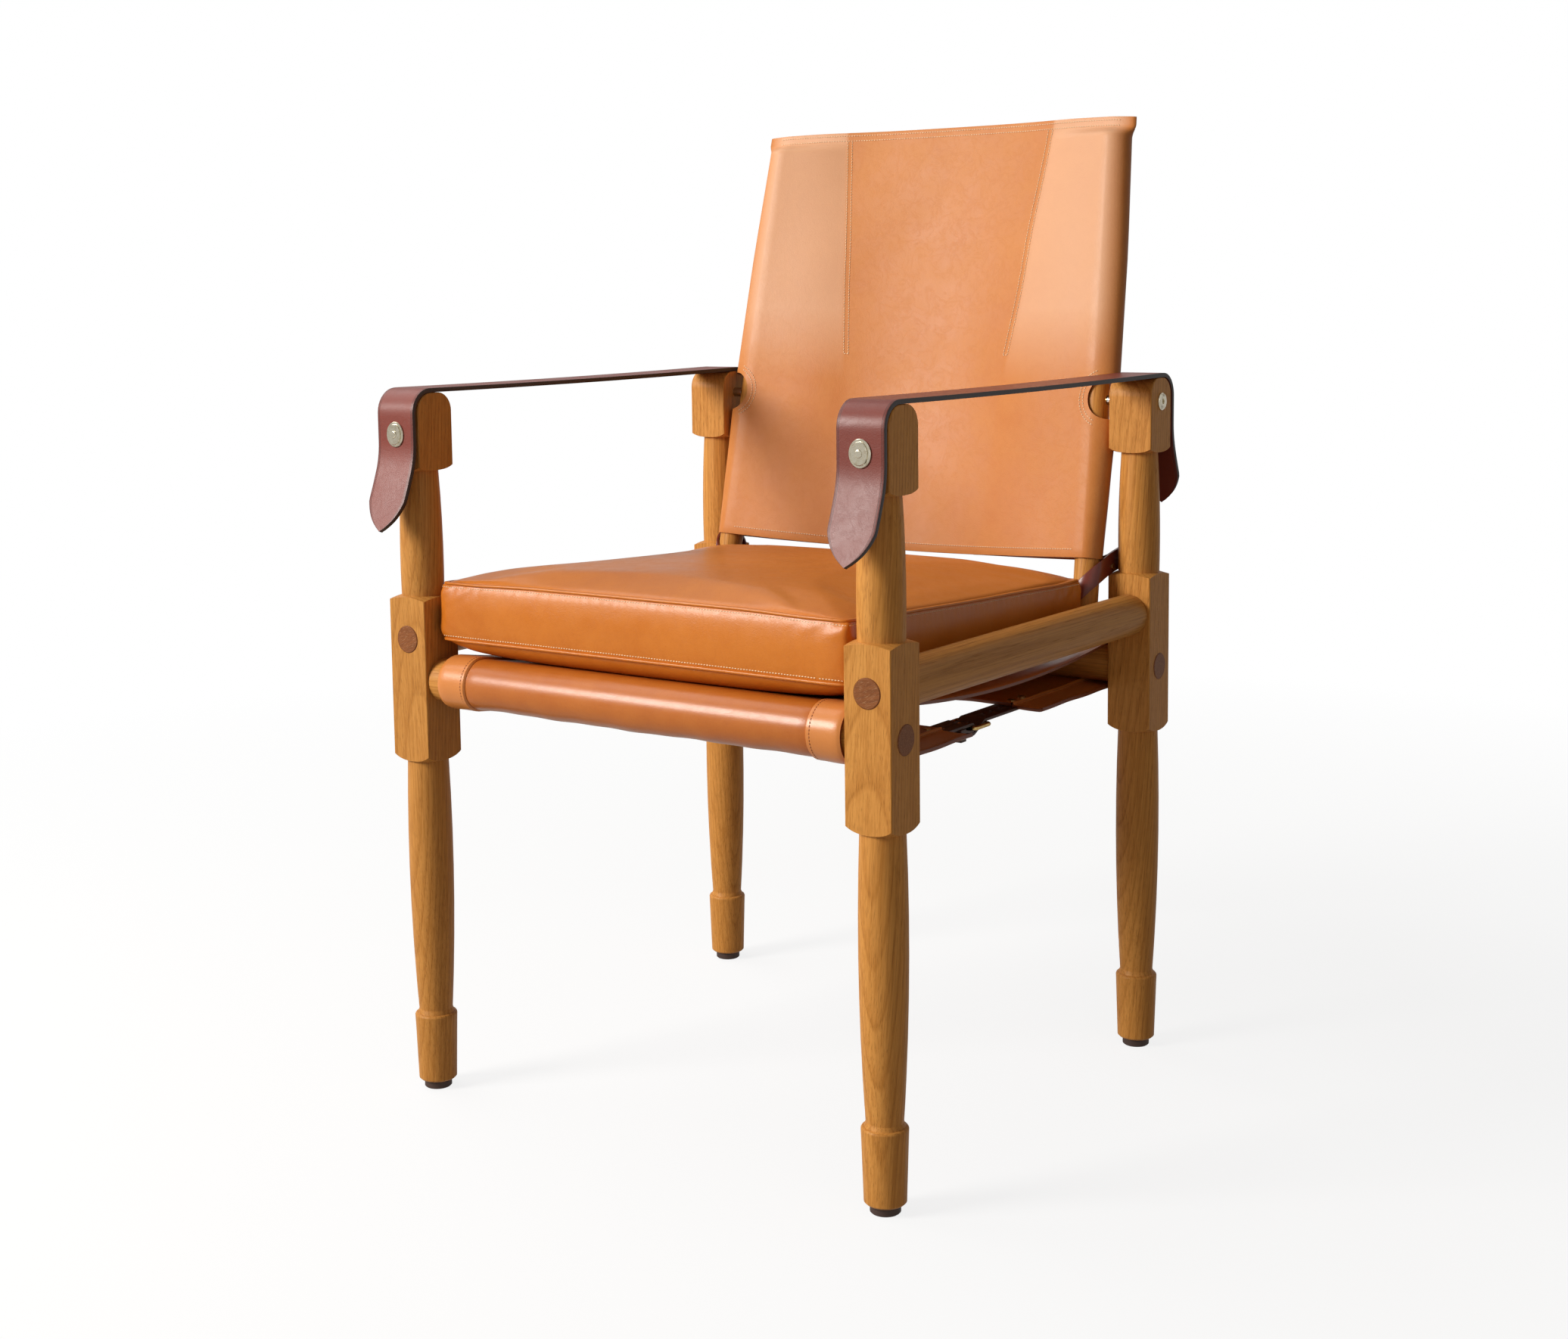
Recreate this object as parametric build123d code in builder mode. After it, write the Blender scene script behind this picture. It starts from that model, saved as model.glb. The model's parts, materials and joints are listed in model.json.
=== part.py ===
from build123d import *
from math import atan2, cos, radians, sin, sqrt, tan
import os

# Campaign chair: a turned oak frame held together by rail bolts, with a slung leather seat, a loose cushion,
# strap arms and a back that tilts on two bolts. Millimetres, front towards -Y, up +Z.
# The origin is on the floor, under the middle of the whole chair.

# Leg stock and where the legs stand
leg_square = 44.5
leg_spacing_x = 507.0
leg_spacing_y = 473.0
leg_edge_ease = 1.2

# Heights along a leg, from the floor
glide_height = 8.3
collar_top_z = 74.0
neck_z = 78.0
belly_z = 250.0
block_bottom_z = 328.0
block_top_z = 474.5
swell_z = 522.0
cap_bottom_z = 600.0
leg_top_z = 667.6

# Turned radii of a leg, and the drops of its shoulders
foot_radius = 18.0
foot_chamfer = 1.5
collar_radius = 20.0
collar_round = 2.6
neck_radius = 15.9
belly_radius = 20.8
waist_radius = 19.2
shaft_radius = 19.8
swell_radius = 20.1
shaft_top_radius = 17.5
block_shoulder_drop = 6.7
block_shoulder_bulge = 1.15
block_top_rise = 3.7
cap_shoulder_drop = 4.6
cap_shoulder_bulge = 1.5
cap_round_radius = 17.5

# Glide under each leg
glide_radius = 13.0
glide_edge = 1.0
glide_pin_radius = 3.5
glide_pin_length = 12.0

# Round rails and their tenons
rail_radius = 20.0
rail_end_ease = 1.0
side_rail_z = 438.0
front_rail_z = 399.0
rear_rail_z = 386.0
tenon_radius = 12.5
tenon_length = 16.0
tenon_end_gap = 0.5

# Rail bolts, cross nuts and the plugs over them
plug_radius = 13.0
plug_depth = 9.0
plug_proud = 0.7
plug_chamfer = 0.9
rail_bolt_radius = 3.0
rail_bolt_bore_radius = 3.4
rail_bolt_head_radius = 7.0
rail_bolt_head_height = 4.0
rail_bolt_key_width = 4.0
rail_bolt_key_depth = 2.4
cross_nut_radius = 6.0
cross_nut_length = 20.0
cross_nut_inset = 36.0
bolt_past_nut = 5.0

# Clearances used throughout
fit_gap = 0.05
bore_gap = 0.3
soft_gap = 0.3
overrun = 30.0

# Back: two straight posts that splay and tilt about the pivot
pivot_z = 644.6
back_tilt = 12.17
post_radius = 12.5
post_pivot_x = 207.8
post_splay = 2.57
post_foot_z = 430.5
post_top_z = 903.0
post_foot_chamfer = 2.0
post_top_chamfer = 1.0

# Pivot bolt, spacer and insert
pivot_bolt_radius = 3.0
pivot_bore_radius = 3.3
pivot_head_radius = 8.5
pivot_head_height = 2.2
pivot_head_ease = 0.8
pivot_key_width = 5.0
pivot_key_depth = 1.6
spacer_radius = 5.0
insert_radius = 5.0
insert_length = 14.0
insert_sink = 0.6
insert_bolt_engagement = 11.0

# Back leather, measured in the plane of the posts, heights along the posts from the pivot
panel_thickness = 3.2
sleeve_wall = 2.7
hem_below_pivot = 155.5
hem_droop = 5.0
panel_above_pivot = 281.0
panel_top_rise = 8.0
cut_out_radius = 20.0
cut_out_from_post = 17.0
# Each level: height as a share of the way up or down from the pivot, reach past the post's axis, distance of
# the pocket seam from the chair's middle, and how far the panel hangs back there and at mid-width.
sleeve_reach_hem = 14.1
sleeve_reach_low = 18.2
sleeve_reach_pivot = 22.3
sleeve_reach_mid = 22.6
sleeve_reach_top = 19.0
seam_x_hem = 92.0
seam_x_pivot = 95.0
seam_x_top = 125.0
panel_sag_hem = 12.0
panel_sag_pivot = 18.0
panel_sag_top = 20.0
seam_sag_share = 0.45
low_level_share = 0.5
mid_level_share = 0.5

# Arm strap
arm_strap_thickness = 4.0
arm_strap_stand_off = 3.0
arm_strap_bend = 21.0
tail_bend_z = 608.0
tail_knee_z = 582.0
tail_knee_out = 12.5
tail_tip_z = 542.0
tail_tip_out = 28.5
tail_bend_radius = 28.0
tail_point_length = 27.0
tail_point_bulge = 3.6

# Press fastener on each strap tail
snap_z = 630.0
snap_plate_width = 20.6
snap_plate_height = 23.5
snap_plate_thickness = 1.5
snap_rim_width = 15.4
snap_rim_height = 19.2
snap_rim_rise = 1.3
snap_edge_ease = 0.5
stud_head_radius = 3.4
stud_head_past_rim = 0.9
stud_neck_radius = 2.6
stud_base_radius = 6.0
stud_shank_radius = 2.0
stud_shank_length = 12.0
stud_hole_gap = 0.25

# Loop strap that holds the foot of a post to the rear leg
loop_width = 20.0
loop_thickness = 2.2
loop_slack = 1.5
loop_past_leg_line = 0.7
loop_front_z = 451.5
loop_middle_z = 480.5
loop_end_z = 492.5
loop_rise_yaw = 57.0
loop_front_before = 18.0
loop_middle_past = 12.5
loop_end_past = 50.0
loop_tip_past_post = 1.5
loop_tip_round = 0.4
loop_tail_past_leg = 7.0
loop_rivet_past_tip = 7.0
loop_rivet_rise = 6.0
loop_rivet_radius = 2.0
loop_rivet_head_radius = 3.6
loop_rivet_head_height = 1.1
loop_screw_z = 488.0
loop_screw_radius = 1.5
loop_screw_head_radius = 3.1
loop_screw_head_angle = 86.0
loop_screw_length = 15.0

# Seat sling
sling_thickness = 3.2
sling_width = 430.0
sling_sag = 18.0
front_flap_length = 191.0
rear_flap_length = 150.0
flap_drop_angle = 8.0
flap_bend_radius = 60.0

# Straps and buckles that pull the sling tight, measured along the chair from each buckle's bar
strap_spacing = 188.0
strap_width = 26.0
strap_thickness = 2.5
buckle_bar_radius = 2.0
buckle_bar_spacing = 26.0
buckle_inner_width = 29.0
buckle_corner_radius = 3.4
buckle_bar_from_front_rail = 238.0
chape_length = 90.0
chape_join = 13.0
chape_join_start = 3.0
chape_join_radius = 6.0
chape_slot_width = 5.0
chape_slot_length = 13.0
billet_overlap = 44.0
billet_tip_length = 62.0
billet_point_length = 15.0
billet_step_clear = 3.0
billet_bend_radius = 6.0
billet_hole_radius = 2.2
billet_hole_pitch = 16.0
billet_hole_count = 5
billet_slot_start = 3.4
billet_slot_end = 16.6
tongue_width = 3.0
tongue_thickness = 2.6
tongue_ring_wall = 1.8
tongue_past_bar = 3.5
keeper_wall = 1.8
keeper_width = 9.0
keeper_from_bar = 15.0
rivet_radius = 2.0
rivet_head_radius = 4.0
rivet_head_height = 1.0
rivet_inset = 12.0
rivet_pitch = 20.0

# Cushion
cushion_width = 452.0
cushion_depth = 419.0
cushion_front_overhang = 8.5
cushion_boxing = 54.0
cushion_corner_radius = 28.0
cushion_draw_in = 4.0
cushion_top_crown = 20.0
cushion_front_seam_z = 494.0
cushion_slope = 2.3
cushion_bottom_crown = 32.0
cushion_shoulder_share = 0.86
cushion_middle_share = 0.45
cushion_shoulder_height_share = 0.58
cushion_lip_out = 2.6
cushion_lip_thickness = 2.4

# Where the legs stand, so that the whole chair is centred on the origin
tilt_slope = tan(radians(back_tilt))
tilt_cos = cos(radians(back_tilt))
tilt_sin = sin(radians(back_tilt))
splay_slope = tan(radians(post_splay))
front_reach = leg_spacing_y / 2 + leg_square / 2 + tail_tip_out + arm_strap_thickness
back_lean = panel_above_pivot * tilt_sin
rear_reach = leg_spacing_y / 2 + back_lean + (panel_sag_top + panel_thickness / 2) * tilt_cos
legs_y = (front_reach - rear_reach) / 2
side_x = leg_spacing_x / 2
front_y = legs_y - leg_spacing_y / 2
rear_y = legs_y + leg_spacing_y / 2
half_leg = leg_square / 2
corner_radius = leg_square / sqrt(2)
side_names = {-1: "left", 1: "right"}
end_names = {-1: "front", 1: "rear"}

os.makedirs("parts", exist_ok=True)


def write(piece, label):
    piece.part.label = label
    export_step(piece.part, f"parts/{label}.step")


def end_y(end):
    return legs_y + end * leg_spacing_y / 2


def end_rail_z(end):
    return front_rail_z if end < 0 else rear_rail_z


def post_x(z):
    return post_pivot_x - (z - pivot_z) * splay_slope


def post_y(z):
    return rear_y + (z - pivot_z) * tilt_slope


def bolt_seats_of(side, end):
    """Planes on the two outer faces of a leg where its rail bolts enter, pointing outwards."""
    along = Plane(
        origin=(side * side_x, end_y(end) + end * half_leg, side_rail_z), x_dir=(1, 0, 0), z_dir=(0, end, 0)
    )
    across = Plane(
        origin=(side * (side_x + half_leg), end_y(end), end_rail_z(end)), x_dir=(0, 1, 0), z_dir=(side, 0, 0)
    )
    return [along, across]


bolt_seats = [seat for side in (-1, 1) for end in (-1, 1) for seat in bolt_seats_of(side, end)]


# Legs: square stock cut by one turned profile, so that each shoulder runs from square to round
def make_leg(side, end):
    x = side * side_x
    y = end_y(end)
    with BuildPart() as leg:
        with BuildSketch(Plane(origin=(x, y, 0), x_dir=(0, 1, 0), z_dir=(1, 0, 0))) as side_view:
            with Locations((0, (leg_top_z + glide_height) / 2)):
                Rectangle(leg_square, leg_top_z - glide_height)
            fillet(side_view.vertices().group_by(Axis.Y)[-1], cap_round_radius)
        extrude(amount=half_leg, both=True)
        fillet(leg.edges().filter_by(Axis.Z), leg_edge_ease)

        with BuildSketch(Plane(origin=(x, y, 0), x_dir=(1, 0, 0), z_dir=(0, -1, 0))):
            with BuildLine():
                foot = Polyline(
                    (0, glide_height),
                    (foot_radius - foot_chamfer, glide_height),
                    (foot_radius, glide_height + foot_chamfer),
                    (collar_radius, collar_top_z - collar_round),
                )
                collar = ThreePointArc(
                    foot @ 1,
                    (collar_radius - collar_round * (1 - cos(radians(45))),
                     collar_top_z - collar_round * (1 - sin(radians(45)))),
                    (collar_radius - collar_round, collar_top_z),
                )
                step = Line(collar @ 1, (neck_radius, neck_z))
                lower = ThreePointArc(
                    step @ 1, (belly_radius, belly_z), (waist_radius, block_bottom_z - block_shoulder_drop)
                )
                block_shoulder = SagittaArc(lower @ 1, (corner_radius, block_bottom_z), -block_shoulder_bulge)
                block = Polyline(
                    block_shoulder @ 1, (corner_radius, block_top_z), (shaft_radius, block_top_z + block_top_rise)
                )
                upper = ThreePointArc(
                    block @ 1, (swell_radius, swell_z), (shaft_top_radius, cap_bottom_z - cap_shoulder_drop)
                )
                cap_shoulder = SagittaArc(upper @ 1, (corner_radius, cap_bottom_z), -cap_shoulder_bulge)
                Polyline(cap_shoulder @ 1, (corner_radius, leg_top_z), (0, leg_top_z), (0, glide_height))
            make_face()
        revolve(axis=Axis((x, y, 0), (0, 0, 1)), mode=Mode.INTERSECT)

        # Plug, head and bolt bores, one inside the other, and the tenon sockets at the far side
        for seat in bolt_seats_of(side, end):
            with Locations(seat):
                Hole(plug_radius, plug_depth)
                Hole(rail_bolt_head_radius + bore_gap, plug_depth + rail_bolt_head_height)
                Hole(rail_bolt_bore_radius, leg_square)
            with Locations(seat.offset(-leg_square).rotated((180, 0, 0))):
                Hole(tenon_radius + fit_gap, tenon_length + tenon_end_gap)
        with Locations(Plane(origin=(x, y, glide_height), z_dir=(0, 0, -1))):
            Hole(glide_pin_radius + fit_gap, glide_pin_length + tenon_end_gap)
        with Locations(Plane(origin=(x, y + end * half_leg, snap_z), z_dir=(0, end, 0))):
            Hole(stud_shank_radius + fit_gap, stud_shank_length + tenon_end_gap)
        if end > 0:
            with Locations(Plane(origin=(x + side * half_leg, y, pivot_z), z_dir=(side, 0, 0))):
                Hole(pivot_bore_radius, leg_square)
            with Locations(Plane(origin=(x - side * half_leg, y, loop_screw_z), z_dir=(-side, 0, 0))):
                Hole(loop_screw_radius + fit_gap, half_leg - shaft_radius + loop_screw_length)
    write(leg, f"leg_{end_names[end]}_{side_names[side]}")


# Glides: a disc that the leg stands on, with a pin up into the end grain
def make_glide(side, end):
    with BuildPart() as glide:
        with BuildSketch(Plane((side * side_x, end_y(end), 0))):
            Circle(glide_radius)
        extrude(amount=glide_height)
        chamfer(glide.edges().group_by(Axis.Z)[0], glide_edge)
        with BuildSketch(Plane((side * side_x, end_y(end), glide_height))):
            Circle(glide_pin_radius)
        extrude(amount=glide_pin_length)
    write(glide, f"glide_{end_names[end]}_{side_names[side]}")


for side in (-1, 1):
    for end in (-1, 1):
        make_leg(side, end)
        make_glide(side, end)


# Rails: round between the legs' faces, with a tenon, a bolt bore and a nut bore at each end
def make_rail(label, middle, direction, clear_length):
    with BuildPart() as rail:
        with BuildSketch(Plane(origin=middle, z_dir=direction)):
            Circle(rail_radius)
        extrude(amount=clear_length / 2, both=True)
        chamfer(rail.edges().filter_by(GeomType.CIRCLE), rail_end_ease)
        with BuildSketch(Plane(origin=middle, z_dir=direction)):
            Circle(tenon_radius)
        extrude(amount=clear_length / 2 + tenon_length, both=True)
        for way in (-1, 1):
            outwards = Vector(*direction) * way
            tenon_end = Vector(*middle) + outwards * (clear_length / 2 + tenon_length)
            with Locations(Plane(origin=tenon_end, z_dir=outwards)):
                Hole(rail_bolt_bore_radius, tenon_length + cross_nut_inset + cross_nut_radius + bolt_past_nut)
            nut_middle = Vector(*middle) + outwards * (clear_length / 2 - cross_nut_inset)
            with Locations(Plane(origin=nut_middle - Vector(0, 0, rail_radius), z_dir=(0, 0, -1))):
                Hole(cross_nut_radius + bore_gap, rail_radius + cross_nut_length / 2 + bore_gap)
    write(rail, label)


for side in (-1, 1):
    make_rail(f"rail_{side_names[side]}", (side * side_x, legs_y, side_rail_z), (0, 1, 0), leg_spacing_y - leg_square)
for end in (-1, 1):
    make_rail(f"rail_{end_names[end]}", (0, end_y(end), end_rail_z(end)), (1, 0, 0), leg_spacing_x - leg_square)


# Rail bolts with a key socket, their cross nuts, and the darker plugs that hide the heads
with BuildPart() as rail_bolts:
    for seat in bolt_seats:
        with BuildSketch(seat.offset(-plug_depth - rail_bolt_head_height)):
            Circle(rail_bolt_head_radius)
        extrude(amount=rail_bolt_head_height)
        with BuildSketch(seat.offset(-plug_depth)):
            RegularPolygon(rail_bolt_key_width / 2, side_count=6, major_radius=False)
        extrude(amount=-rail_bolt_key_depth, mode=Mode.SUBTRACT)
        with BuildSketch(seat.offset(-plug_depth - rail_bolt_head_height)):
            Circle(rail_bolt_radius)
        extrude(amount=plug_depth + rail_bolt_head_height - leg_square - cross_nut_inset - cross_nut_radius
                - bolt_past_nut / 2)
write(rail_bolts, "rail_bolts")

with BuildPart() as cross_nuts:
    for seat in bolt_seats:
        nut_plane = seat.offset(-leg_square - cross_nut_inset)
        with BuildSketch(Plane(origin=nut_plane.origin, z_dir=(0, 0, 1))):
            Circle(cross_nut_radius)
        extrude(amount=cross_nut_length / 2, both=True)
        with BuildSketch(nut_plane):
            Circle(rail_bolt_radius + fit_gap)
        extrude(amount=cross_nut_length, both=True, mode=Mode.SUBTRACT)
write(cross_nuts, "cross_nuts")

with BuildPart() as bolt_plugs:
    for seat in bolt_seats:
        with BuildSketch(seat.offset(plug_proud)):
            Circle(plug_radius - fit_gap)
        extrude(amount=-plug_depth - plug_proud)
    for seat in bolt_seats:
        rim = bolt_plugs.edges().filter_by(GeomType.CIRCLE).sort_by_distance(seat.offset(plug_proud).origin)
        chamfer(rim[0], plug_chamfer)
write(bolt_plugs, "bolt_plugs")


# Back posts: straight dowels on the splayed and tilted axis, bored for the pivot insert
post_lengthwise = Vector(-splay_slope, tilt_slope, 1).normalized()
post_length_per_rise = 1 / post_lengthwise.Z
post_side_reach = post_radius * sqrt(1 + splay_slope**2)


def post_plane(side, z):
    """Plane across a post at a height, with its X to the chair's right."""
    upwards = (side * post_lengthwise.X, post_lengthwise.Y, post_lengthwise.Z)
    return Plane(origin=(side * post_x(z), post_y(z), z), x_dir=(1, 0, side * splay_slope), z_dir=upwards)


def make_post(side):
    with BuildPart() as post:
        with BuildSketch(post_plane(side, post_foot_z)):
            Circle(post_radius)
        extrude(amount=(post_top_z - post_foot_z) * post_length_per_rise)
        chamfer(post.edges().group_by(Axis.Z)[0], post_foot_chamfer)
        chamfer(post.edges().group_by(Axis.Z)[-1], post_top_chamfer)
        with Locations(Plane(origin=(side * (post_pivot_x + post_side_reach), rear_y, pivot_z), z_dir=(side, 0, 0))):
            Hole(insert_radius + fit_gap, insert_length + insert_sink + tenon_end_gap)
    write(post, f"back_post_{side_names[side]}")


# Pivot: an insert in the post, a spacer against the leg, and a bolt with a wide flat head through both
post_outside_x = post_pivot_x + post_side_reach
spacer_inner_x = post_outside_x + soft_gap
leg_inside_x = side_x - half_leg
leg_outside_x = side_x + half_leg


def make_pivot(side):
    outside = Plane(origin=(side * leg_outside_x, rear_y, pivot_z), x_dir=(0, 1, 0), z_dir=(side, 0, 0))
    with BuildPart() as insert:
        with BuildSketch(outside.offset(post_outside_x - insert_sink - insert_length - leg_outside_x)):
            Circle(insert_radius)
            Circle(pivot_bolt_radius + fit_gap, mode=Mode.SUBTRACT)
        extrude(amount=insert_length)
    write(insert, f"pivot_insert_{side_names[side]}")

    with BuildPart() as spacer:
        with BuildSketch(outside.offset(spacer_inner_x - leg_outside_x)):
            Circle(spacer_radius)
            Circle(pivot_bolt_radius + fit_gap, mode=Mode.SUBTRACT)
        extrude(amount=leg_inside_x - spacer_inner_x)
    write(spacer, f"pivot_spacer_{side_names[side]}")

    with BuildPart() as bolt:
        with BuildSketch(outside):
            Circle(pivot_head_radius)
        extrude(amount=pivot_head_height)
        rims = bolt.edges().filter_by(GeomType.CIRCLE)
        chamfer(rims.sort_by_distance(outside.offset(overrun).origin)[0], pivot_head_ease)
        with BuildSketch(outside.offset(pivot_head_height)):
            RegularPolygon(pivot_key_width / 2, side_count=6, major_radius=False)
        extrude(amount=-pivot_key_depth, mode=Mode.SUBTRACT)
        with BuildSketch(outside):
            Circle(pivot_bolt_radius)
        extrude(amount=post_outside_x - insert_sink - insert_bolt_engagement - leg_outside_x)
    write(bolt, f"pivot_bolt_{side_names[side]}")


for side in (-1, 1):
    make_post(side)
    make_pivot(side)


# Back leather: one sheet with a pocket round each post, lofted through level sections across the posts.
# Heights in the back's own plane are measured from the pivot, along its tilt.
back_plane = Plane(origin=(0, rear_y, pivot_z), x_dir=(1, 0, 0), z_dir=(0, -tilt_cos, tilt_sin))


def back_level(height):
    """Plane across the back at a height, with its X to the chair's right and its Y to the rear."""
    rise = Vector(0, tilt_sin, tilt_cos) * height
    origin = Vector(0, rear_y, pivot_z) + rise
    return Plane(origin=origin, x_dir=(1, 0, 0), z_dir=(0, tilt_sin, tilt_cos))


# Height, reach past a post's axis, seam's distance from the middle, and how far the sheet hangs back
back_levels = [
    (-hem_below_pivot - hem_droop, sleeve_reach_hem, seam_x_hem, panel_sag_hem),
    (-hem_below_pivot * low_level_share, sleeve_reach_low, (seam_x_hem + seam_x_pivot) / 2,
     (panel_sag_hem + panel_sag_pivot) / 2),
    (0, sleeve_reach_pivot, seam_x_pivot, panel_sag_pivot),
    (panel_above_pivot * mid_level_share, sleeve_reach_mid, (seam_x_pivot + seam_x_top) / 2,
     (panel_sag_pivot + panel_sag_top) / 2),
    (panel_above_pivot + panel_top_rise, sleeve_reach_top, seam_x_top, panel_sag_top),
]
sleeve_skin = post_radius + bore_gap + sleeve_wall
half_panel = panel_thickness / 2

with BuildPart() as back_leather:
    for height, reach, seam_x, sag in back_levels:
        post_centre = post_pivot_x - height * tilt_cos * splay_slope
        seam_sag = sag * seam_sag_share
        with BuildSketch(back_level(height)):
            with BuildLine():
                front = ThreePointArc(
                    (-seam_x, seam_sag - half_panel), (0, sag - half_panel), (seam_x, seam_sag - half_panel)
                )
                Line(front @ 1, (post_centre, -sleeve_skin))
                EllipticalCenterArc((post_centre, 0), reach, sleeve_skin, start_angle=-90, arc_size=90)
                EllipticalCenterArc((post_centre, 0), reach, sleeve_skin, start_angle=0, arc_size=90)
                rear = ThreePointArc(
                    (seam_x, seam_sag + half_panel), (0, sag + half_panel), (-seam_x, seam_sag + half_panel)
                )
                Line((post_centre, sleeve_skin), rear @ 0)
                Line(rear @ 1, (-post_centre, sleeve_skin))
                EllipticalCenterArc((-post_centre, 0), reach, sleeve_skin, start_angle=90, arc_size=90)
                EllipticalCenterArc((-post_centre, 0), reach, sleeve_skin, start_angle=180, arc_size=90)
                Line((-post_centre, -sleeve_skin), front @ 0)
            make_face()
    loft()
    # Seen from the front: a top edge that rises to the middle, a hem that droops, and the pivot cut-outs
    with BuildSketch(back_plane):
        with BuildLine():
            top_edge = ThreePointArc(
                (leg_spacing_x / 2, panel_above_pivot), (0, panel_above_pivot + panel_top_rise),
                (-leg_spacing_x / 2, panel_above_pivot)
            )
            left_edge = Line(top_edge @ 1, (-leg_spacing_x / 2, -hem_below_pivot))
            hem_edge = ThreePointArc(
                left_edge @ 1, (0, -hem_below_pivot - hem_droop), (leg_spacing_x / 2, -hem_below_pivot)
            )
            Line(hem_edge @ 1, top_edge @ 0)
        make_face()
        with Locations((-post_pivot_x - cut_out_from_post, 0), (post_pivot_x + cut_out_from_post, 0)):
            Circle(cut_out_radius, mode=Mode.SUBTRACT)
    extrude(amount=leg_spacing_x, both=True, mode=Mode.INTERSECT)
    for side in (-1, 1):
        with BuildSketch(post_plane(side, post_foot_z)):
            Circle(post_radius + bore_gap)
        extrude(amount=(post_top_z - post_foot_z) * post_length_per_rise + bore_gap, mode=Mode.SUBTRACT)
write(back_leather, "back_leather")


# Arm straps: one thick strap over both leg tops, with a pointed tail that leans away below each fastener
def make_arm_strap(side):
    x = side * side_x
    half = arm_strap_thickness / 2
    face_out = half_leg + arm_strap_stand_off + half
    strap_z = leg_top_z + soft_gap + half
    with BuildPart() as arm_strap:
        with BuildLine(Plane(origin=(x, legs_y, 0), x_dir=(0, 1, 0), z_dir=(1, 0, 0))) as route:
            legs_half = leg_spacing_y / 2
            for end in (-1, 1):
                FilletPolyline(
                    (end * (legs_half + half_leg + tail_tip_out + half), tail_tip_z),
                    (end * (legs_half + half_leg + tail_knee_out + half), tail_knee_z),
                    (end * (legs_half + face_out), tail_bend_z),
                    (end * (legs_half + face_out), snap_z),
                    radius=tail_bend_radius,
                )
            FilletPolyline(
                (-legs_half - face_out, snap_z), (-legs_half - face_out, strap_z), (legs_half + face_out, strap_z),
                (legs_half + face_out, snap_z), radius=arm_strap_bend,
            )
        with BuildSketch(Plane(origin=route.line @ 0, x_dir=(1, 0, 0), z_dir=route.line % 0)):
            Rectangle(leg_square, arm_strap_thickness)
        sweep(path=route.line)
        # The pointed tips, cut as seen from the front
        tip_z = tail_tip_z - half
        with BuildSketch(Plane(origin=(x, legs_y, 0), x_dir=(1, 0, 0), z_dir=(0, -1, 0))):
            with BuildLine():
                right_curve = SagittaArc((0, tip_z), (half_leg, tip_z + tail_point_length), -tail_point_bulge)
                left_curve = SagittaArc((-half_leg, tip_z + tail_point_length), (0, tip_z), -tail_point_bulge)
                Polyline(right_curve @ 1, (half_leg, leg_top_z + overrun), (-half_leg, leg_top_z + overrun),
                         left_curve @ 0)
            make_face()
        extrude(amount=leg_spacing_y, both=True, mode=Mode.INTERSECT)
        for end in (-1, 1):
            snap_face = Plane(origin=(x, end_y(end) + end * (face_out + half), snap_z), z_dir=(0, end, 0))
            with Locations(snap_face):
                Hole(stud_head_radius + stud_hole_gap, arm_strap_thickness + arm_strap_stand_off / 2)
    write(arm_strap, f"arm_strap_{side_names[side]}")


# Press fasteners: a screwed stud in the leg, and an oval socket plate on the strap with the stud's head in it
def make_snap(side, end):
    name = f"{end_names[end]}_{side_names[side]}"
    leg_face = Plane(
        origin=(side * side_x, end_y(end) + end * half_leg, snap_z), x_dir=(1, 0, 0), z_dir=(0, end, 0)
    )
    strap_face = arm_strap_stand_off + arm_strap_thickness
    rim_face = strap_face + fit_gap + snap_plate_thickness + snap_rim_rise
    with BuildPart() as plate:
        with BuildSketch(leg_face.offset(strap_face + fit_gap)):
            Ellipse(snap_plate_width / 2, snap_plate_height / 2)
        extrude(amount=snap_plate_thickness)
        rims = plate.edges().filter_by(GeomType.ELLIPSE)
        chamfer(rims.sort_by_distance(leg_face.offset(overrun).origin)[0], snap_edge_ease)
        with BuildSketch(leg_face.offset(strap_face + fit_gap + snap_plate_thickness)):
            Ellipse(snap_rim_width / 2, snap_rim_height / 2)
        extrude(amount=snap_rim_rise)
        rims = plate.edges().filter_by(GeomType.ELLIPSE)
        chamfer(rims.sort_by_distance(leg_face.offset(overrun).origin)[0], snap_edge_ease)
        with Locations(leg_face.offset(rim_face)):
            Hole(stud_head_radius + fit_gap, snap_plate_thickness + snap_rim_rise)
    write(plate, f"snap_plate_{name}")

    head_top = rim_face + stud_head_past_rim
    with BuildPart() as stud:
        with BuildSketch(leg_face.offset(-stud_shank_length)):
            Circle(stud_shank_radius)
        extrude(amount=stud_shank_length)
        with BuildSketch(leg_face):
            Circle(stud_base_radius)
        extrude(amount=arm_strap_stand_off - soft_gap)
        with BuildSketch(leg_face.offset(arm_strap_stand_off - soft_gap)):
            Circle(stud_neck_radius)
        extrude(amount=arm_strap_thickness)
        with BuildSketch(leg_face.offset(arm_strap_stand_off - soft_gap + arm_strap_thickness)):
            Circle(stud_head_radius)
        extrude(amount=head_top - arm_strap_stand_off + soft_gap - arm_strap_thickness)
        rims = stud.edges().filter_by(GeomType.CIRCLE)
        fillet(rims.sort_by_distance(leg_face.offset(overrun).origin)[0], stud_head_past_rim)
    write(stud, f"snap_stud_{name}")


for side in (-1, 1):
    make_arm_strap(side)
    for end in (-1, 1):
        make_snap(side, end)


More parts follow.
